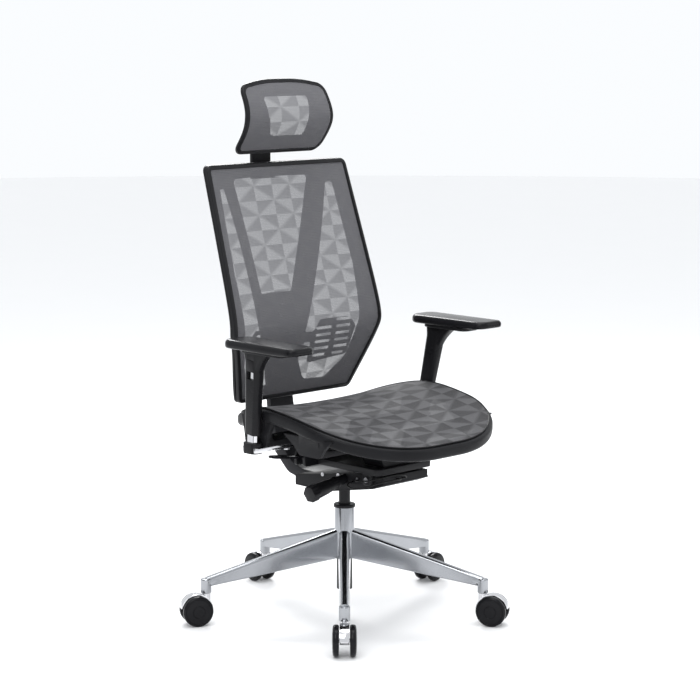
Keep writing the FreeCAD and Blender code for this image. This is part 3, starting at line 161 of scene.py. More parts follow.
class Recipe:
    """One material: a Principled shader and the nodes that feed it."""

    def __init__(self, name, roughness, metallic=0.0, coat=0.0, coat_roughness=0.1, sheen=0.0, ior=1.20):
        self.material = bpy.data.materials.new(name)
        self.material.use_nodes = True
        self.tree = self.material.node_tree
        self.tree.nodes.clear()
        self.shader = self.tree.nodes.new("ShaderNodeBsdfPrincipled")
        result = self.tree.nodes.new("ShaderNodeOutputMaterial")
        self.tree.links.new(self.shader.outputs[0], result.inputs["Surface"])
        self.shader.inputs["Roughness"].default_value = roughness
        self.shader.inputs["Metallic"].default_value = metallic
        self.shader.inputs["Coat Weight"].default_value = coat
        self.shader.inputs["Coat Roughness"].default_value = coat_roughness
        self.shader.inputs["Sheen Weight"].default_value = sheen
        self.shader.inputs["IOR"].default_value = ior

    def feed(self, socket, value):
        if isinstance(value, Term):
            self.tree.links.new(value.source, socket)
        else:
            socket.default_value = value

    def node(self, kind, settings=None, inputs=None, output=0):
        made = self.tree.nodes.new(kind)
        for key, value in (settings or {}).items():
            if key == "stops":
                for element, (place, grey) in zip(made.color_ramp.elements, value):
                    element.position = place
                    element.color = (grey, grey, grey, 1)
            else:
                setattr(made, key, value)
        for key, value in (inputs or {}).items():
            self.feed(made.inputs[key], value)
        return Term(self, made.outputs[output])

    def place(self, output="Object"):
        return self.node("ShaderNodeTexCoord", {}, {}, output)

    def stretched(self, scale):
        return self.node("ShaderNodeMapping", {}, {"Vector": self.place(), "Scale": scale})

    def noise(self, scale, detail=3.0, vector=None):
        inputs = {"Vector": vector or self.place(), "Scale": scale, "Detail": detail}
        return self.node("ShaderNodeTexNoise", {}, inputs, "Fac")

    def cells(self, scale):
        inputs = {"Vector": self.place(), "Scale": scale}
        return self.node("ShaderNodeTexVoronoi", {}, inputs, "Distance")

    def blend(self, share, low, high):
        inputs = {0: share, 6: (*low, 1) if isinstance(low, tuple) else low,
                  7: (*high, 1) if isinstance(high, tuple) else high}
        return self.node("ShaderNodeMix", {"data_type": "RGBA"}, inputs, 2)

    def colour(self, value):
        self.feed(self.shader.inputs["Base Color"], (*value, 1) if isinstance(value, tuple) else value)

    def roughness(self, value):
        self.feed(self.shader.inputs["Roughness"], value)

    def relief(self, height, distance, strength=1.0):
        bump = self.node("ShaderNodeBump", {}, {"Height": height, "Distance": distance, "Strength": strength})
        self.feed(self.shader.inputs["Normal"], bump)


def grained(name, colour, roughness, grain, depth, coat=0.0):
    """Moulded plastic: fine grain, faint cloudiness and slightly worn patches."""
    recipe = Recipe(name, roughness, coat=coat, coat_roughness=0.25)
    clouds = recipe.noise(14.0, 2.0)
    lighter = tuple(min(1.0, channel * 1.5 + 0.004) for channel in colour)
    recipe.colour(recipe.blend(clouds, colour, lighter))
    recipe.roughness(clouds * 0.14 + (roughness - 0.07))
    recipe.relief(recipe.cells(grain), depth)
    return recipe.material


def glossy(name, colour, roughness, ripple=0.00004):
    """Polished moulding: deep colour under a clear skin with a very slight orange peel."""
    recipe = Recipe(name, roughness, coat=0.08, coat_roughness=0.06)
    patches = recipe.noise(30.0, 4.0)
    recipe.colour(recipe.blend(patches, colour, tuple(channel * 1.7 for channel in colour)))
    recipe.roughness(patches * 0.08 + (roughness - 0.04))
    recipe.relief(recipe.noise(260.0, 1.0), ripple)
    return recipe.material


def plated(name, colour, roughness, smudges=0.10):
    """Bright metal with faint smudges."""
    recipe = Recipe(name, roughness, metallic=1.0)
    film = recipe.noise(22.0, 5.0)
    recipe.colour(recipe.blend(film, colour, tuple(channel * 0.90 for channel in colour)))
    recipe.roughness(film * smudges + (roughness - smudges * 0.4))
    recipe.relief(recipe.noise(60.0, 2.0), 0.00005)
    return recipe.material


def drawn_steel(name, colour, roughness):
    """Bar steel with fine lines along its length."""
    recipe = Recipe(name, roughness, metallic=1.0)
    lines = recipe.noise(1.0, 2.0, recipe.stretched((120.0, 120.0, 1800.0)))
    recipe.colour(recipe.blend(lines, colour, tuple(channel * 0.75 for channel in colour)))
    recipe.roughness(lines * 0.2 + roughness)
    recipe.relief(lines, 0.00003)
    return recipe.material


def coated_steel(name, colour, roughness, grain):
    """Powder coat: small soft bumps and an even satin gloss."""
    recipe = Recipe(name, roughness, coat=0.04, coat_roughness=0.3)
    bumps = recipe.noise(grain, 2.0)
    recipe.colour(recipe.blend(recipe.noise(18.0), colour, tuple(channel * 1.45 for channel in colour)))
    recipe.roughness(bumps * 0.16 + roughness - 0.08)
    recipe.relief(bumps, 0.00012)
    return recipe.material


def knitted(name, sizes, light, dark, open_share, dense_share, spread=1.0):
    """Elastic knit: pinwheels of open and dense triangles over rows of small holes, with painted shade across each
    triangle.
    """
    recipe = Recipe(name, 0.70, sheen=0.08)
    across = recipe.node("ShaderNodeSeparateXYZ", {}, {0: recipe.place("UV")})
    upward = Term(recipe, across.source.node.outputs[1])
    wobble = (recipe.noise(9.0, 1.0) - 0.5) * 0.16
    column = across / (sizes.triangle_width * spread) + wobble
    row = upward / (sizes.triangle_height * spread) + wobble
    u, v = column.fraction(), row.fraction()
    odd_column = (column.floor() * 0.5).fraction() * 2.0
    odd_row = (row.floor() * 0.5).fraction() * 2.0
    crisp = 4.0
    rising = ((u - v) * crisp + 0.5).clamped()
    falling = ((u + v - 1.0) * crisp + 0.5).clamped()
    rising = rising + odd_column - 2.0 * (rising * odd_column)
    even_column = 1.0 - odd_column
    falling = falling + even_column - 2.0 * (falling * even_column)
    unlike = abs(odd_column - odd_row)
    dense = rising * (1.0 - unlike) + falling * unlike
    # Painted shade: each cell darkens from one corner to the opposite one, standing in for light falling on the
    # knit's raised triangles
    painted_facet_gradient = (u + v) * 0.5
    dense = (dense * 0.80 + painted_facet_gradient * 0.20).clamped()
    turn = 2 * math.pi / sizes.stitch_pitch
    holes = ((across + upward * 0.5) * turn).sine() * ((across - upward * 0.5) * turn).sine()
    holes = (holes * 0.5 + 0.5).clamped()
    yarn = recipe.noise(420.0, 2.0)
    shade = (dense + (yarn - 0.5) * 0.30 + (holes - 0.5) * 0.22).clamped()
    recipe.colour(recipe.blend(shade, light, dark))
    cover = dense * (dense_share - open_share) + open_share
    cover = (cover + (holes - 0.5) * 0.16 + (yarn - 0.5) * 0.10).clamped()
    recipe.feed(recipe.shader.inputs["Alpha"], cover)
    recipe.relief(holes * 0.6 + dense * 0.4, 0.0006)
    return recipe.material


def make_finishes(sizes, colours):
    """One finish for each slot of the record, and the finishes of the added details."""
    plastic = tuple(colours.plastic)
    light, dark = tuple(colours.knit_light), tuple(colours.knit_dark)
    FINISHES.update({
        "polished_aluminium": plated("polished_alloy", (0.36, 0.37, 0.39), 0.17, 0.08),
        "chrome": plated("bright_plate", (0.66, 0.66, 0.68), 0.08, 0.05),
        "chrome_bar": coated_steel("black_bar_coat", (0.018, 0.018, 0.020), 0.38, 900.0),
        "steel": drawn_steel("bar_steel", (0.58, 0.58, 0.60), 0.24),
        "black_steel": coated_steel("black_steel_coat", (0.014, 0.014, 0.015), 0.30, 700.0),
        "dark_housing": coated_steel("dark_housing_coat", (0.010, 0.010, 0.011), 0.52, 800.0),
        "grey_housing": coated_steel("grey_housing_coat", (0.010, 0.010, 0.011), 0.52, 800.0),
        "frame_plastic": grained("frame_plastic_grain", plastic, 0.42, 1500.0, 0.00010, 0.05),
        "black_plastic": grained("black_plastic_grain", (0.006, 0.006, 0.007), 0.38, 1700.0, 0.00007, 0.08),
        "sleeve_plastic": grained("sleeve_plastic_grain", (0.005, 0.005, 0.006), 0.28, 2000.0, 0.00005, 0.05),
        "gloss_black": glossy("gloss_black_moulding", (0.006, 0.006, 0.007), 0.12),
        "wheel_plastic": glossy("wheel_moulding", (0.005, 0.005, 0.006), 0.20),
        "pad_polyurethane": grained("pad_skin", (0.004, 0.004, 0.005), 0.22, 1300.0, 0.00003, 0.06),
        "mesh_fabric": knitted("knit_back", sizes, light, dark, 0.745, 0.88),
        # Seat knit: the back's knit colours darkened (light x0.56, dark x0.26) as painted shade for the dark seat
        # base and the shadow under the mesh; it is also denser (alpha 0.975 to 0.99) with a larger pattern (x1.18)
        "seat_fabric_painted_shade": knitted("fabric_seat_painted_shade", sizes, tuple(channel * 0.56 for channel in light),
                             tuple(channel * 0.26 for channel in dark), 0.975, 0.99, 1.18),
        "cable_sheath": grained("cable_sheath_skin", (0.010, 0.010, 0.010), 0.42, 2600.0, 0.00003),
    })


# ---- mesh helpers ----------------------------------------------------------------------------
def new_piece(name, mesh, finish):
    piece = bpy.data.objects.new(name, mesh)
    bpy.context.scene.collection.objects.link(piece)
    mesh.materials.clear()
    mesh.materials.append(FINISHES[finish])
    return piece


def smoothed(mesh, angle=32.0):
    for polygon in mesh.polygons:
        polygon.use_smooth = True
    mesh.set_sharp_from_angle(angle=math.radians(angle))


def settled(piece):
    """The piece with its modifiers turned into plain mesh."""
    graph = bpy.context.evaluated_depsgraph_get()
    graph.update()
    mesh = bpy.data.meshes.new_from_object(piece.evaluated_get(graph))
    piece.modifiers.clear()
    piece.data = mesh
    return piece


def merged_copy(node):
    """The node's mesh with its loose triangles joined and flat faces made whole."""
    mesh = frame["nodes"][node].data.copy()
    work = bmesh.new()
    work.from_mesh(mesh)
    bmesh.ops.remove_doubles(work, verts=work.verts, dist=2e-6)
    bmesh.ops.dissolve_limit(work, angle_limit=math.radians(0.4), verts=work.verts, edges=work.edges)
    work.to_mesh(mesh)
    work.free()
    return mesh


def dress(node, bevel):
    """Shows a CAD node with joined faces, softened edges and its own finish."""
    slot = SLOT_OF[node]
    piece = new_piece(node + "_finished", merged_copy(node), slot)
    smoothed(piece.data)
    if bevel > 0:
        edges = piece.modifiers.new("edges", "BEVEL")
        edges.width = bevel
        edges.segments = 3
        edges.limit_method = "ANGLE"
        edges.angle_limit = math.radians(38)
        edges.use_clamp_overlap = True
        edges.harden_normals = False
        settled(piece)
        smoothed(piece.data, 40.0)
    piece.data.materials.clear()
    piece.data.materials.append(FINISHES[slot])
    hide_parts(node)
    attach(piece, BODY_OF[node])
    return piece


def lathe(name, profile, centre, axis, finish, steps=56):
    """Closed turned shape; profile lists (radius, depth along the axis) and ends on the axis."""
    turn = Vector((0, 0, 1)).rotation_difference(Vector(axis)).to_matrix().to_4x4()
    place = Matrix.Translation(centre) @ turn
    work = bmesh.new()
    rings = []
    for radius, depth in profile:
        if radius < 1e-6:
            rings.append([work.verts.new((0, 0, depth))])
        else:
            rings.append([work.verts.new((radius * math.cos(2 * math.pi * k / steps),
                                          radius * math.sin(2 * math.pi * k / steps), depth))
                          for k in range(steps)])
    for low, high in zip(rings, rings[1:]):
        for k in range(steps):
            following = (k + 1) % steps
            corners = [low[k % len(low)], low[following % len(low)],
                       high[following % len(high)], high[k % len(high)]]
            distinct = list(dict.fromkeys(corners))
            if len(distinct) > 2:
                work.faces.new(distinct)
    bmesh.ops.recalc_face_normals(work, faces=work.faces)
    work.transform(place)
    mesh = bpy.data.meshes.new(name)
    work.to_mesh(mesh)
    work.free()
    smoothed(mesh, 35.0)
    return new_piece(name, mesh, finish)


# ---- stretched covers ------------------------------------------------------------------------
def probe(node):
    mesh = frame["nodes"][node].data
    points = [vertex.co for vertex in mesh.vertices]
    faces = [tuple(polygon.vertices) for polygon in mesh.polygons]
    return BVHTree.FromPolygons(points, faces)


def cover_grid(node, toward, rise, rows, columns):
    """Points of a cover's outer face, row by row from one end to the other.

    toward is the direction that looks onto the face, rise the direction in which the rows follow.
    """
    tree = probe(node)
    low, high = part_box(node)
    toward, rise = Vector(toward), Vector(rise)
    start, end = low.dot(rise), high.dot(rise)

    def hit(x, along):
        found = tree.ray_cast(Vector((x, 0, 0)) + rise * along - toward * 3.0, toward)
        return found[0]

    def reach(side, along):
        inside, outside = 0.0, high.x + 0.01
        for _ in range(24):
            middle = (inside + outside) / 2
            if hit(side * middle, along) is None:
                outside = middle
            else:
                inside = middle
        return side * (inside - 1e-5)

    grid = []
    for row in range(rows):
        share = 0.5 - 0.5 * math.cos(math.pi * row / (rows - 1))
        along = start + (end - start) * (0.0008 + 0.9984 * share)
        left, right = reach(-1, along), reach(1, along)
        line = [hit(left + (right - left) * column / (columns - 1), along) for column in range(columns)]
        if any(point is None for point in line):
            raise RuntimeError("the cover over %s has a gap at %.4f" % (node, along))
        grid.append(line)
    return grid


def cover(name, node, toward, rise, rows, columns, finish):
    """A stretched cover on the outer face of its CAD slab, with its flat pattern as the UV map."""
    grid = cover_grid(node, toward, rise, rows, columns)
    points = [point for line in grid for point in line]
    middle = columns // 2
    lengths = [0.0]
    for before, after in zip(grid, grid[1:]):
        lengths.append(lengths[-1] + (after[middle] - before[middle]).length)
    faces = []
    for row in range(rows - 1):
        for column in range(columns - 1):
            corner = row * columns + column
            faces.append((corner, corner + 1, corner + columns + 1, corner + columns))
    mesh = bpy.data.meshes.new(name)
    mesh.from_pydata(points, [], faces)
    mesh.update()
    if mesh.polygons[len(faces) // 2].normal.dot(Vector(toward)) > 0:
        mesh.flip_normals()
    flat = mesh.uv_layers.new(name="FlatPattern")
    for loop in mesh.loops:
        flat.data[loop.index].uv = (points[loop.vertex_index].x + 1.0,
                                    lengths[loop.vertex_index // columns] + 0.5)
    smoothed(mesh, 60.0)
    piece = new_piece(name, mesh, finish)
    area = sum(polygon.area for polygon in mesh.polygons)
    width = max((line[-1] - line[0]).length for line in grid)
    ring = (grid[0] + [line[-1] for line in grid[1:]] + grid[-1][-2::-1]
            + [line[0] for line in grid[-2:0:-1]])
    return piece, (width, lengths[-1]), area, ring


# ---- node groups -----------------------------------------------------------------------------
class Group:
    """A Geometry Nodes tree with named inputs."""

    def __init__(self, name, inputs):
        self.tree = bpy.data.node_groups.new(name, "GeometryNodeTree")
        self.tree.interface.new_socket("Geometry", in_out="INPUT", socket_type="NodeSocketGeometry")
        for label, kind in inputs:
            self.tree.interface.new_socket(label, in_out="INPUT", socket_type=kind)
        self.tree.interface.new_socket("Geometry", in_out="OUTPUT", socket_type="NodeSocketGeometry")
        self.entry = self.tree.nodes.new("NodeGroupInput")
        self.exit = self.tree.nodes.new("NodeGroupOutput")

    def add(self, kind, links, **settings):
        made = self.tree.nodes.new(kind)
        for key, value in settings.items():
            setattr(made, key, value)
        for key, value in links.items():
            if isinstance(value, bpy.types.NodeSocket):
                self.tree.links.new(value, made.inputs[key])
            else:
                made.inputs[key].default_value = value
        return made

    def given(self, label):
        return self.entry.outputs[label]

    def close(self, geometry):
        real = self.add("GeometryNodeRealizeInstances", {0: geometry})
        smooth = self.add("GeometryNodeSetShadeSmooth", {0: real.outputs[0]})
        finished = self.add("GeometryNodeSetMaterial", {0: smooth.outputs[0],
                                                        "Material": self.given("Finish")})
        self.tree.links.new(finished.outputs[0], self.exit.inputs[0])
        return self.tree


def piping_group():
    """Round section along the edges of the mesh that it is given."""
    group = Group("Edge piping", [("Radius", "NodeSocketFloat"), ("Finish", "NodeSocketMaterial")])
    path = group.add("GeometryNodeMeshToCurve", {0: group.given("Geometry")})
    ring = group.add("GeometryNodeCurvePrimitiveCircle", {"Resolution": 10, "Radius": group.given("Radius")})
    tube = group.add("GeometryNodeCurveToMesh", {"Curve": path.outputs[0], "Profile Curve": ring.outputs[0],
                                                 "Fill Caps": False})
    return group.close(tube.outputs[0])


def rib_group():
    """Bars set round a circle, one on each of its points."""
    group = Group("Grip ribs", [("Count", "NodeSocketInt"), ("Ring radius", "NodeSocketFloat"),
                                ("Rib length", "NodeSocketFloat"), ("Rib radius", "NodeSocketFloat"),
                                ("Finish", "NodeSocketMaterial")])
    ring = group.add("GeometryNodeCurvePrimitiveCircle", {"Resolution": group.given("Count"),
                                                          "Radius": group.given("Ring radius")})
    places = group.add("GeometryNodeCurveToPoints", {0: ring.outputs[0]}, mode="EVALUATED")
    bar = group.add("GeometryNodeMeshCylinder", {"Vertices": 8, "Radius": group.given("Rib radius"),
                                                 "Depth": group.given("Rib length")})
    ribs = group.add("GeometryNodeInstanceOnPoints", {"Points": places.outputs[0],
                                                      "Instance": bar.outputs[0]})
    return group.close(ribs.outputs[0])


def fastener_group():
    """Pan-head screws on the points that it is given, each turned by its own amount."""
    group = Group("Screw heads", [("Head radius", "NodeSocketFloat"), ("Head height", "NodeSocketFloat"),
                                  ("Finish", "NodeSocketMaterial")])
    head = group.add("GeometryNodeMeshCylinder", {"Vertices": 20, "Radius": group.given("Head radius"),
                                                  "Depth": group.given("Head height")})
    socket_radius = group.add("ShaderNodeMath", {0: group.given("Head radius"), 1: 0.5}, operation="MULTIPLY")
    drive = group.add("GeometryNodeMeshCylinder", {"Vertices": 6, "Radius": socket_radius.outputs[0],
                                                   "Depth": group.given("Head height")})
    sunk = group.add("GeometryNodeTransform", {0: drive.outputs[0], "Translation": (0.0, 0.0, 0.0012)})
    cut = group.add("GeometryNodeMeshBoolean", {"Mesh 1": head.outputs[0], "Mesh 2": sunk.outputs[0]},
                    operation="DIFFERENCE")
    turn = group.add("FunctionNodeRandomValue", {"Seed": 7}, data_type="FLOAT_VECTOR")
    turn.inputs["Min"].default_value = (0, 0, 0)
    turn.inputs["Max"].default_value = (0, 0, 6.0)
    screws = group.add("GeometryNodeInstanceOnPoints", {"Points": group.given("Geometry"),
                                                        "Instance": cut.outputs[0],
                                                        "Rotation": turn.outputs[0]})
    return group.close(screws.outputs[0])


def grown(name, mesh, tree, values, finish, place=None):
    """Runs a node group on a mesh and leaves the plain result, moved to its place."""
    piece = bpy.data.objects.new(name, mesh)
    bpy.context.scene.collection.objects.link(piece)
    modifier = piece.modifiers.new(tree.name, "NODES")
    modifier.node_group = tree
    for item in tree.interface.items_tree:
        if item.in_out == "INPUT" and item.name in values:
            modifier[item.identifier] = values[item.name]
        if item.in_out == "INPUT" and item.name == "Finish":
            modifier[item.identifier] = FINISHES[finish]
    settled(piece)
    if place is not None:
        piece.data.transform(place)
    smoothed(piece.data, 40.0)
    return piece


def line_mesh(name, points):
    mesh = bpy.data.meshes.new(name)
    edges = [(k, (k + 1) % len(points)) for k in range(len(points))]
    mesh.from_pydata(points, edges, [])
    return mesh


def point_mesh(name, points):
    mesh = bpy.data.meshes.new(name)
    mesh.from_pydata(points, [], [])
    return mesh


# ---- operators -------------------------------------------------------------------------------
BEVEL_SHARE = {
    "base_star": 1.2, "lift_collar": 0.5, "lift_column": 0.3, "mechanism_housing": 1.0,
    "mechanism_cover": 0.8, "control_handle": 0.8, "tension_knob": 0.9, "seat_plate": 1.0,
    "seat_frame": 1.0, "paddle_box": 0.9, "lift_paddle": 1.0, "arm_bolts": 0.4, "arm_feet": 1.0,
    "arm_bracket": 0.5, "arm_sleeve": 0.9, "arm_button": 0.5, "arm_pad_plate": 1.0, "back_bracket": 1.5,
    "back_frame": 1.0, "back_rim": 0.0, "lumbar_wings": 0.7, "lumbar_bridge": 1.0,
    "headrest_post": 0.8, "headrest_slider": 1.2, "headrest_frame": 0.8, "caster_fork": 0.7,
    "caster_axle": 0.4,
}
SOFT_OR_TURNED = ("seat_mesh", "back_mesh", "headrest_mesh", "arm_pad_", "caster_wheel_")


class CHAIR_OT_hard_parts(bpy.types.Operator):
    """Finish the moulded, cast and pressed pieces"""
    bl_idname = "chair.hard_parts"
    bl_label = "Hard parts"

    def execute(self, context):
        sizes = context.scene.chair_sizes
        for node in sorted(frame["nodes"]):
            if node.startswith(SOFT_OR_TURNED) and not node.startswith("arm_pad_plate"):
                continue
            family = next((key for key in BEVEL_SHARE if node.startswith(key)), None)
            share = BEVEL_SHARE[family] if family else 0.0
            dress(node, share * sizes.edge_round)
        return {"FINISHED"}


class CHAIR_OT_covers(bpy.types.Operator):
    """Stretch the knitted covers over the seat, back and headrest, and lock them with piping"""
    bl_idname = "chair.covers"
    bl_label = "Knitted covers"

    def execute(self, context):
        sizes = context.scene.chair_sizes
        piping = piping_group()
        plans = (
            # the seat cover takes the darkened knit, whose colours carry painted shade from the dark seat base
            # below
            ("seat_cover", "seat_mesh", (0, 0, -1), (0, 1, 0), 97, 81, "seat_fabric_painted_shade", "seat_frame"),
            ("back_cover", "back_mesh", (0, 1, 0), (0, 0, 1), 121, 81, "mesh_fabric", "back_rim"),
            ("headrest_cover", "headrest_mesh", (0, 1, 0), (0, 0, 1), 61, 61, "mesh_fabric",
             "headrest_frame"),
        )
        for name, node, toward, rise, rows, columns, finish, holder in plans:
            piece, flat, area, ring = cover(name, node, toward, rise, rows, columns, finish)
            cord = grown(name + "_piping", line_mesh(name + "_edge", ring), piping,
                         {"Radius": sizes.piping_radius}, "black_plastic")
            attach(cord, BODY_OF[node])
            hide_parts(node)
            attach(piece, BODY_OF[node])
            share = min(1.0, area / (flat[0] * flat[1]))
            flat[0] * flat[1] * share
        return {"FINISHED"}


class CHAIR_OT_arm_pads(bpy.types.Operator):
    """Mould the soft arm pads"""
    bl_idname = "chair.arm_pads"
    bl_label = "Arm pads"

    def execute(self, context):
        crown = context.scene.chair_sizes.pad_crown
        for hand in ("right", "left"):
            node = "arm_pad_" + hand
            piece = new_piece("arm_rest_" + hand, arm_pad_mesh(node, crown), SLOT_OF[node])
            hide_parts(node)
            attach(piece, BODY_OF[node])
        return {"FINISHED"}


def pad_outline(node, count=160):
    """Plan of an arm pad, read off its CAD solid at mid height, as (point, outward normal)."""
    tree = probe(node)
    low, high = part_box(node)
    centre = (low + high) / 2
    points = []
    for k in range(count):
        angle = 2 * math.pi * k / count
        outward = Vector((math.cos(angle), math.sin(angle), 0))
        found = tree.ray_cast(centre + outward * 0.5, -outward)
        points.append(found[0])
    normals = []
    for k in range(count):
        run = points[(k + 1) % count] - points[k - 1]
        normals.append(Vector((run.y, -run.x, 0)).normalized())
    return centre, low, high, points, normals


def arm_pad_mesh(node, crown):
    """Crowned pad whose underside rises towards its front end."""
    centre, low, high, points, normals = pad_outline(node)
    height = high.z - low.z - crown
    section = [(0.010, 0.0), (0.0035, 0.0), (0.0012, 0.07), (0.0, 0.24), (0.0, 0.50), (0.0004, 0.66),
               (0.0016, 0.80), (0.0036, 0.92), (0.0062, 0.985), (0.0095, 1.0)]
    work = bmesh.new()
    loops = []
    for inward, share in section:
        loop = []
        for point, normal in zip(points, normals):
            spot = point - normal * inward
            forward = max(0.0, (centre.y - 0.02 - spot.y) / (centre.y - low.y))
            lift = 0.0048 * forward ** 2 * (1 - share)
            loop.append(work.verts.new((spot.x, spot.y, low.z + height * share + lift)))
        loops.append(loop)
    for shrink in (0.8, 0.55, 0.3, 0.12):
        loop = []
        for corner in loops[len(section) - 1]:
            spot = centre.xy + (corner.co.xy - centre.xy) * shrink
            loop.append(work.verts.new((spot.x, spot.y, low.z + height + crown * (1 - shrink ** 2))))
        loops.append(loop)
    count = len(points)
    for below, above in zip(loops, loops[1:]):
        for k in range(count):
            following = (k + 1) % count
            work.faces.new((below[k], below[following], above[following], above[k]))
    work.faces.new(loops[-1])
    work.faces.new(loops[0][::-1])
    bmesh.ops.recalc_face_normals(work, faces=work.faces)
    mesh = bpy.data.meshes.new(node + "_soft")
    work.to_mesh(mesh)
    work.free()
    smoothed(mesh, 50.0)
    return mesh


WHEEL_INNER_FACE = 0.0115    # from the middle of a caster to the inner face of a wheel
# (radius, depth outwards) of a wheel, from its inner face to the middle of its outer one
WHEEL_PROFILE = [
    (0.0, 0.0), (0.0300, 0.0), (0.0328, 0.0012), (0.0340, 0.0040), (0.0340, 0.0084), (0.0330, 0.0112),
    (0.0308, 0.0128), (0.0292, 0.0133), (0.0286, 0.0127), (0.0278, 0.0127), (0.0272, 0.0134),
    (0.0210, 0.0143), (0.0142, 0.0147), (0.0136, 0.0141), (0.0128, 0.0141), (0.0122, 0.0148), (0.0, 0.0150)]


class CHAIR_OT_wheels(bpy.types.Operator):
    """Turn the ten caster wheels"""
    bl_idname = "chair.wheels"
    bl_label = "Caster wheels"

    def execute(self, context):
        for node in sorted(frame["nodes"]):
            if not node.startswith("caster_wheel_"):
                continue
            letter, number = node.split("_")[-2:]
            joint = JOINT["wheel_spin_%s_%s" % (letter, number)]
            centre = Vector(joint["pos_m"])
            axis = Vector(joint["axis"])
            low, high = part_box(node)
            outward = axis if ((low + high) / 2 - centre).dot(axis) > 0 else -axis
            piece = lathe("wheel_%s_%s" % (letter, number), WHEEL_PROFILE,
                          centre + outward * WHEEL_INNER_FACE, outward, "wheel_plastic")
            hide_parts(node)
            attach(piece, BODY_OF[node])
        return {"FINISHED"}


RIB_START = 0.040    # from the handle's root to the middle of the ribs
RIB_RING = 0.0131
RIB_LENGTH = 0.026
RIB_RADIUS = 0.0009
SCREW_RADIUS, SCREW_HEIGHT = 0.0042, 0.0024
BOLT_RADIUS, BOLT_HEIGHT = 0.0060, 0.0036
HOUSING_SCREWS = [(-0.120, 0.008), (-0.060, 0.012), (0.0, 0.012), (0.050, 0.006)]
BRACKET_SCREWS = [(-0.016, 0.100), (0.016, 0.100), (-0.016, 0.075), (0.016, 0.075)]
# name, body, finish, node, offsets from the node's centre on its face, head radius, head height, facing
SCREWS = (
    ("housing_screws_right", "mechanism", "steel", "mechanism_housing", HOUSING_SCREWS,
     SCREW_RADIUS, SCREW_HEIGHT, (-1, 0, 0)),
    ("housing_screws_left", "mechanism", "steel", "mechanism_housing", HOUSING_SCREWS,
     SCREW_RADIUS, SCREW_HEIGHT, (1, 0, 0)),
    ("bracket_screws", "back", "black_steel", "back_bracket", BRACKET_SCREWS,
     BOLT_RADIUS, BOLT_HEIGHT, (0, 1, 0)),
)


def screw_spots(node, offsets, facing):
    """Points on the outer face of a node, found by looking at it against facing."""
    tree = probe(node)
    low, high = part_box(node)
    centre = (low + high) / 2
    spots = []
    for across, upward in offsets:
        side = Vector((0, across, upward)) if abs(facing.x) > 0.5 else Vector((across, 0, upward))
        point, normal, _, _ = tree.ray_cast(centre + side + facing, -facing)
        if point is not None and normal.dot(facing) > 0.9:
            spots.append(point)
    return spots


class CHAIR_OT_controls(bpy.types.Operator):
    """Add the grip ribs and the screws of the controls"""
    bl_idname = "chair.controls"
    bl_label = "Control details"

    def execute(self, context):
        sizes = context.scene.chair_sizes
        joint = JOINT["tension_knob_turn"]
        axis = Vector(joint["axis"])
        root = Vector(joint["pos_m"])
        turn = Vector((0, 0, 1)).rotation_difference(axis).to_matrix().to_4x4()
        place = Matrix.Translation(root + axis * RIB_START) @ turn
        ribs = grown("handle_ribs", point_mesh("rib_start", [(0, 0, 0)]), rib_group(),
                     {"Count": sizes.grip_ribs, "Ring radius": RIB_RING, "Rib length": RIB_LENGTH,
                      "Rib radius": RIB_RADIUS}, "black_plastic", place)
        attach(ribs, "mechanism")
        screws = fastener_group()
        for name, body, finish, node, offsets, radius, height, facing in SCREWS:
            spots = screw_spots(node, offsets, Vector(facing))
            turn = Vector((0, 0, 1)).rotation_difference(Vector(facing)).to_matrix().to_4x4()
            local = [turn.inverted() @ spot for spot in spots]
            heads = grown(name, point_mesh(name + "_spots", local), screws,
                          {"Head radius": radius, "Head height": height}, finish, turn)
            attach(heads, body)
        return {"FINISHED"}


CAMERA_PLACE = (-3.195, -3.321, 1.307)
CAMERA_HEADING = 46.107    # degrees from +X
CAMERA_DIP = 8.756         # degrees below the horizon
CAMERA_LENS = 108.24
CAMERA_SHIFT = 0.0078
AIR_COLOUR = (0.96, 0.98, 1.0, 1)
FLOOR_RADIUS = 14.0
FLAG_HALF_WIDTH = 0.35
FLAG_HEIGHT = 1.5
# name, place, target, width, height, power
LIGHTS = (
    ("key_light", (-2.6, -1.6, 2.9), (0, 0, 0.6), 1.8, 1.8, 40.0),
    ("fill_light", (2.6, -2.6, 1.8), (0, 0, 0.6), 2.2, 2.2, 14.0),
    ("rim_light", (1.6, 2.4, 2.2), (0, 0, 0.7), 1.4, 0.8, 55.0),
    ("top_light", (0.0, -0.2, 3.4), (0, 0, 0.0), 2.4, 2.4, 62.0),
)
# name, place on the floor, turn in degrees
FLAGS = (("left_flag", -1.9, 0.2, 85.0), ("right_flag", 1.7, -0.9, -60.0))


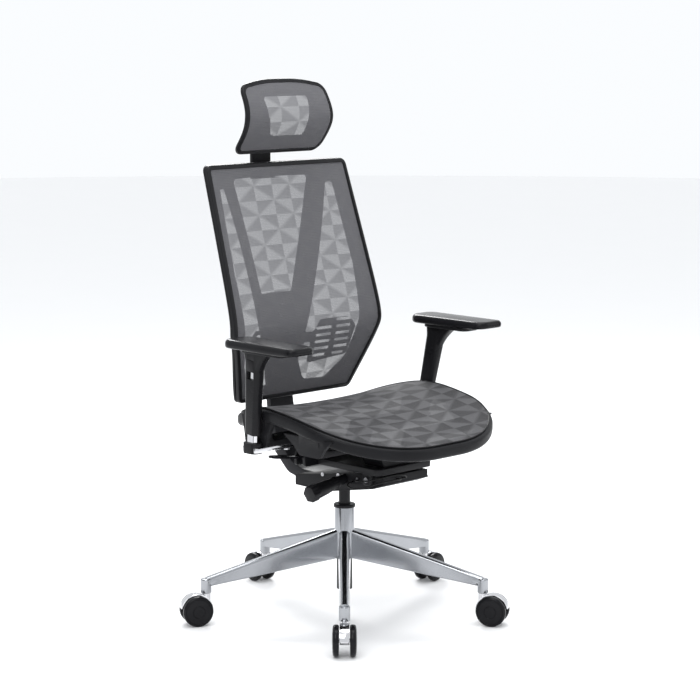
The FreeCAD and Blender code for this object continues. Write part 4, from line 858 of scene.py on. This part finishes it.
class CHAIR_OT_studio(bpy.types.Operator):
    """Set the floor, the lights and the camera"""
    bl_idname = "chair.studio"
    bl_label = "Studio"

    def execute(self, context):
        scene = context.scene
        colours = scene.chair_colours
        recipe = Recipe("floor_paint", 0.55)
        shade = tuple(colours.floor)
        recipe.colour(recipe.blend(recipe.noise(3.0), shade, tuple(channel * 0.985 for channel in shade)))
        FINISHES["floor_paint"] = recipe.material
        floor = new_piece("studio_floor", sweep_floor(), "floor_paint")
        world = bpy.data.worlds.new("studio_air")
        world.use_nodes = True
        world.node_tree.nodes["Background"].inputs["Color"].default_value = AIR_COLOUR
        world.node_tree.nodes["Background"].inputs["Strength"].default_value = 1.0
        scene.world = world
        scene.view_settings.view_transform = "Standard"
        for name, spot, target, width, height, power in LIGHTS:
            data = bpy.data.lights.new(name, "AREA")
            data.shape = "RECTANGLE"
            data.size = width
            data.size_y = height
            data.energy = power
            lamp = bpy.data.objects.new(name, data)
            lamp.location = spot
            lamp.rotation_mode = "QUATERNION"
            lamp.rotation_quaternion = (Vector(target) - Vector(spot)).to_track_quat("-Z", "Y")
            scene.collection.objects.link(lamp)
        for name, x, y, angle in FLAGS:
            flag = new_piece(name, flag_mesh(name, x, y, math.radians(angle)), "flag_cloth")
            flag.visible_camera = False
            flag.visible_shadow = False
            flag.visible_diffuse = False
        camera_data = bpy.data.cameras.new("chair_camera")
        camera_data.sensor_width = 36.0
        camera_data.lens = CAMERA_LENS
        camera_data.shift_x = CAMERA_SHIFT
        camera_data.clip_end = 60.0
        camera = bpy.data.objects.new("chair_camera", camera_data)
        camera.location = CAMERA_PLACE
        heading, dip = math.radians(CAMERA_HEADING), math.radians(CAMERA_DIP)
        look = Vector((math.cos(heading) * math.cos(dip), math.sin(heading) * math.cos(dip), -math.sin(dip)))
        camera.rotation_mode = "QUATERNION"
        camera.rotation_quaternion = look.to_track_quat("-Z", "Y")
        scene.collection.objects.link(camera)
        scene.camera = camera
        return {"FINISHED"}


def sweep_floor():
    """Wide disc of floor."""
    work = bmesh.new()
    bmesh.ops.create_circle(work, cap_ends=True, segments=96, radius=FLOOR_RADIUS)
    mesh = bpy.data.meshes.new("studio_floor")
    work.to_mesh(mesh)
    work.free()
    return mesh


def flag_mesh(name, x, y, angle):
    """Upright dark cloth beside the set, seen only in reflections."""
    half = Vector((math.cos(angle), math.sin(angle), 0)) * FLAG_HALF_WIDTH
    foot = Vector((x, y, 0.05))
    up = Vector((0, 0, FLAG_HEIGHT))
    mesh = bpy.data.meshes.new(name)
    mesh.from_pydata([foot - half, foot + half, foot + half + up, foot - half + up], [], [(0, 1, 2, 3)])
    return mesh


class CHAIR_PT_panel(bpy.types.Panel):
    """Sidebar panel with one button for each group of pieces"""
    bl_idname = "CHAIR_PT_panel"
    bl_label = "Mesh task chair"
    bl_space_type = "VIEW_3D"
    bl_region_type = "UI"
    bl_category = "Chair"

    def draw(self, context):
        layout = self.layout
        for group in (context.scene.chair_sizes, context.scene.chair_colours):
            for name in group.__annotations__:
                layout.prop(group, name)
        for operator in OPERATORS:
            layout.operator(operator.bl_idname)


OPERATORS = (CHAIR_OT_hard_parts, CHAIR_OT_covers, CHAIR_OT_arm_pads, CHAIR_OT_wheels,
             CHAIR_OT_controls, CHAIR_OT_studio)
CLASSES = (ChairSizes, ChairColours, *OPERATORS, CHAIR_PT_panel)


def register():
    for item in CLASSES:
        bpy.utils.register_class(item)
    bpy.types.Scene.chair_sizes = bpy.props.PointerProperty(type=ChairSizes)
    bpy.types.Scene.chair_colours = bpy.props.PointerProperty(type=ChairColours)


def unregister():
    del bpy.types.Scene.chair_colours
    del bpy.types.Scene.chair_sizes
    for item in reversed(CLASSES):
        bpy.utils.unregister_class(item)


def main():
    register()
    scene = bpy.context.scene
    make_finishes(scene.chair_sizes, scene.chair_colours)
    cloth = Recipe("flag_cloth", 0.9)
    cloth.colour((0.01, 0.01, 0.01))
    FINISHES["flag_cloth"] = cloth.material
    bpy.ops.chair.hard_parts()
    bpy.ops.chair.covers()
    bpy.ops.chair.arm_pads()
    bpy.ops.chair.wheels()
    bpy.ops.chair.controls()
    bpy.ops.chair.studio()


if __name__ == "__main__":
    main()
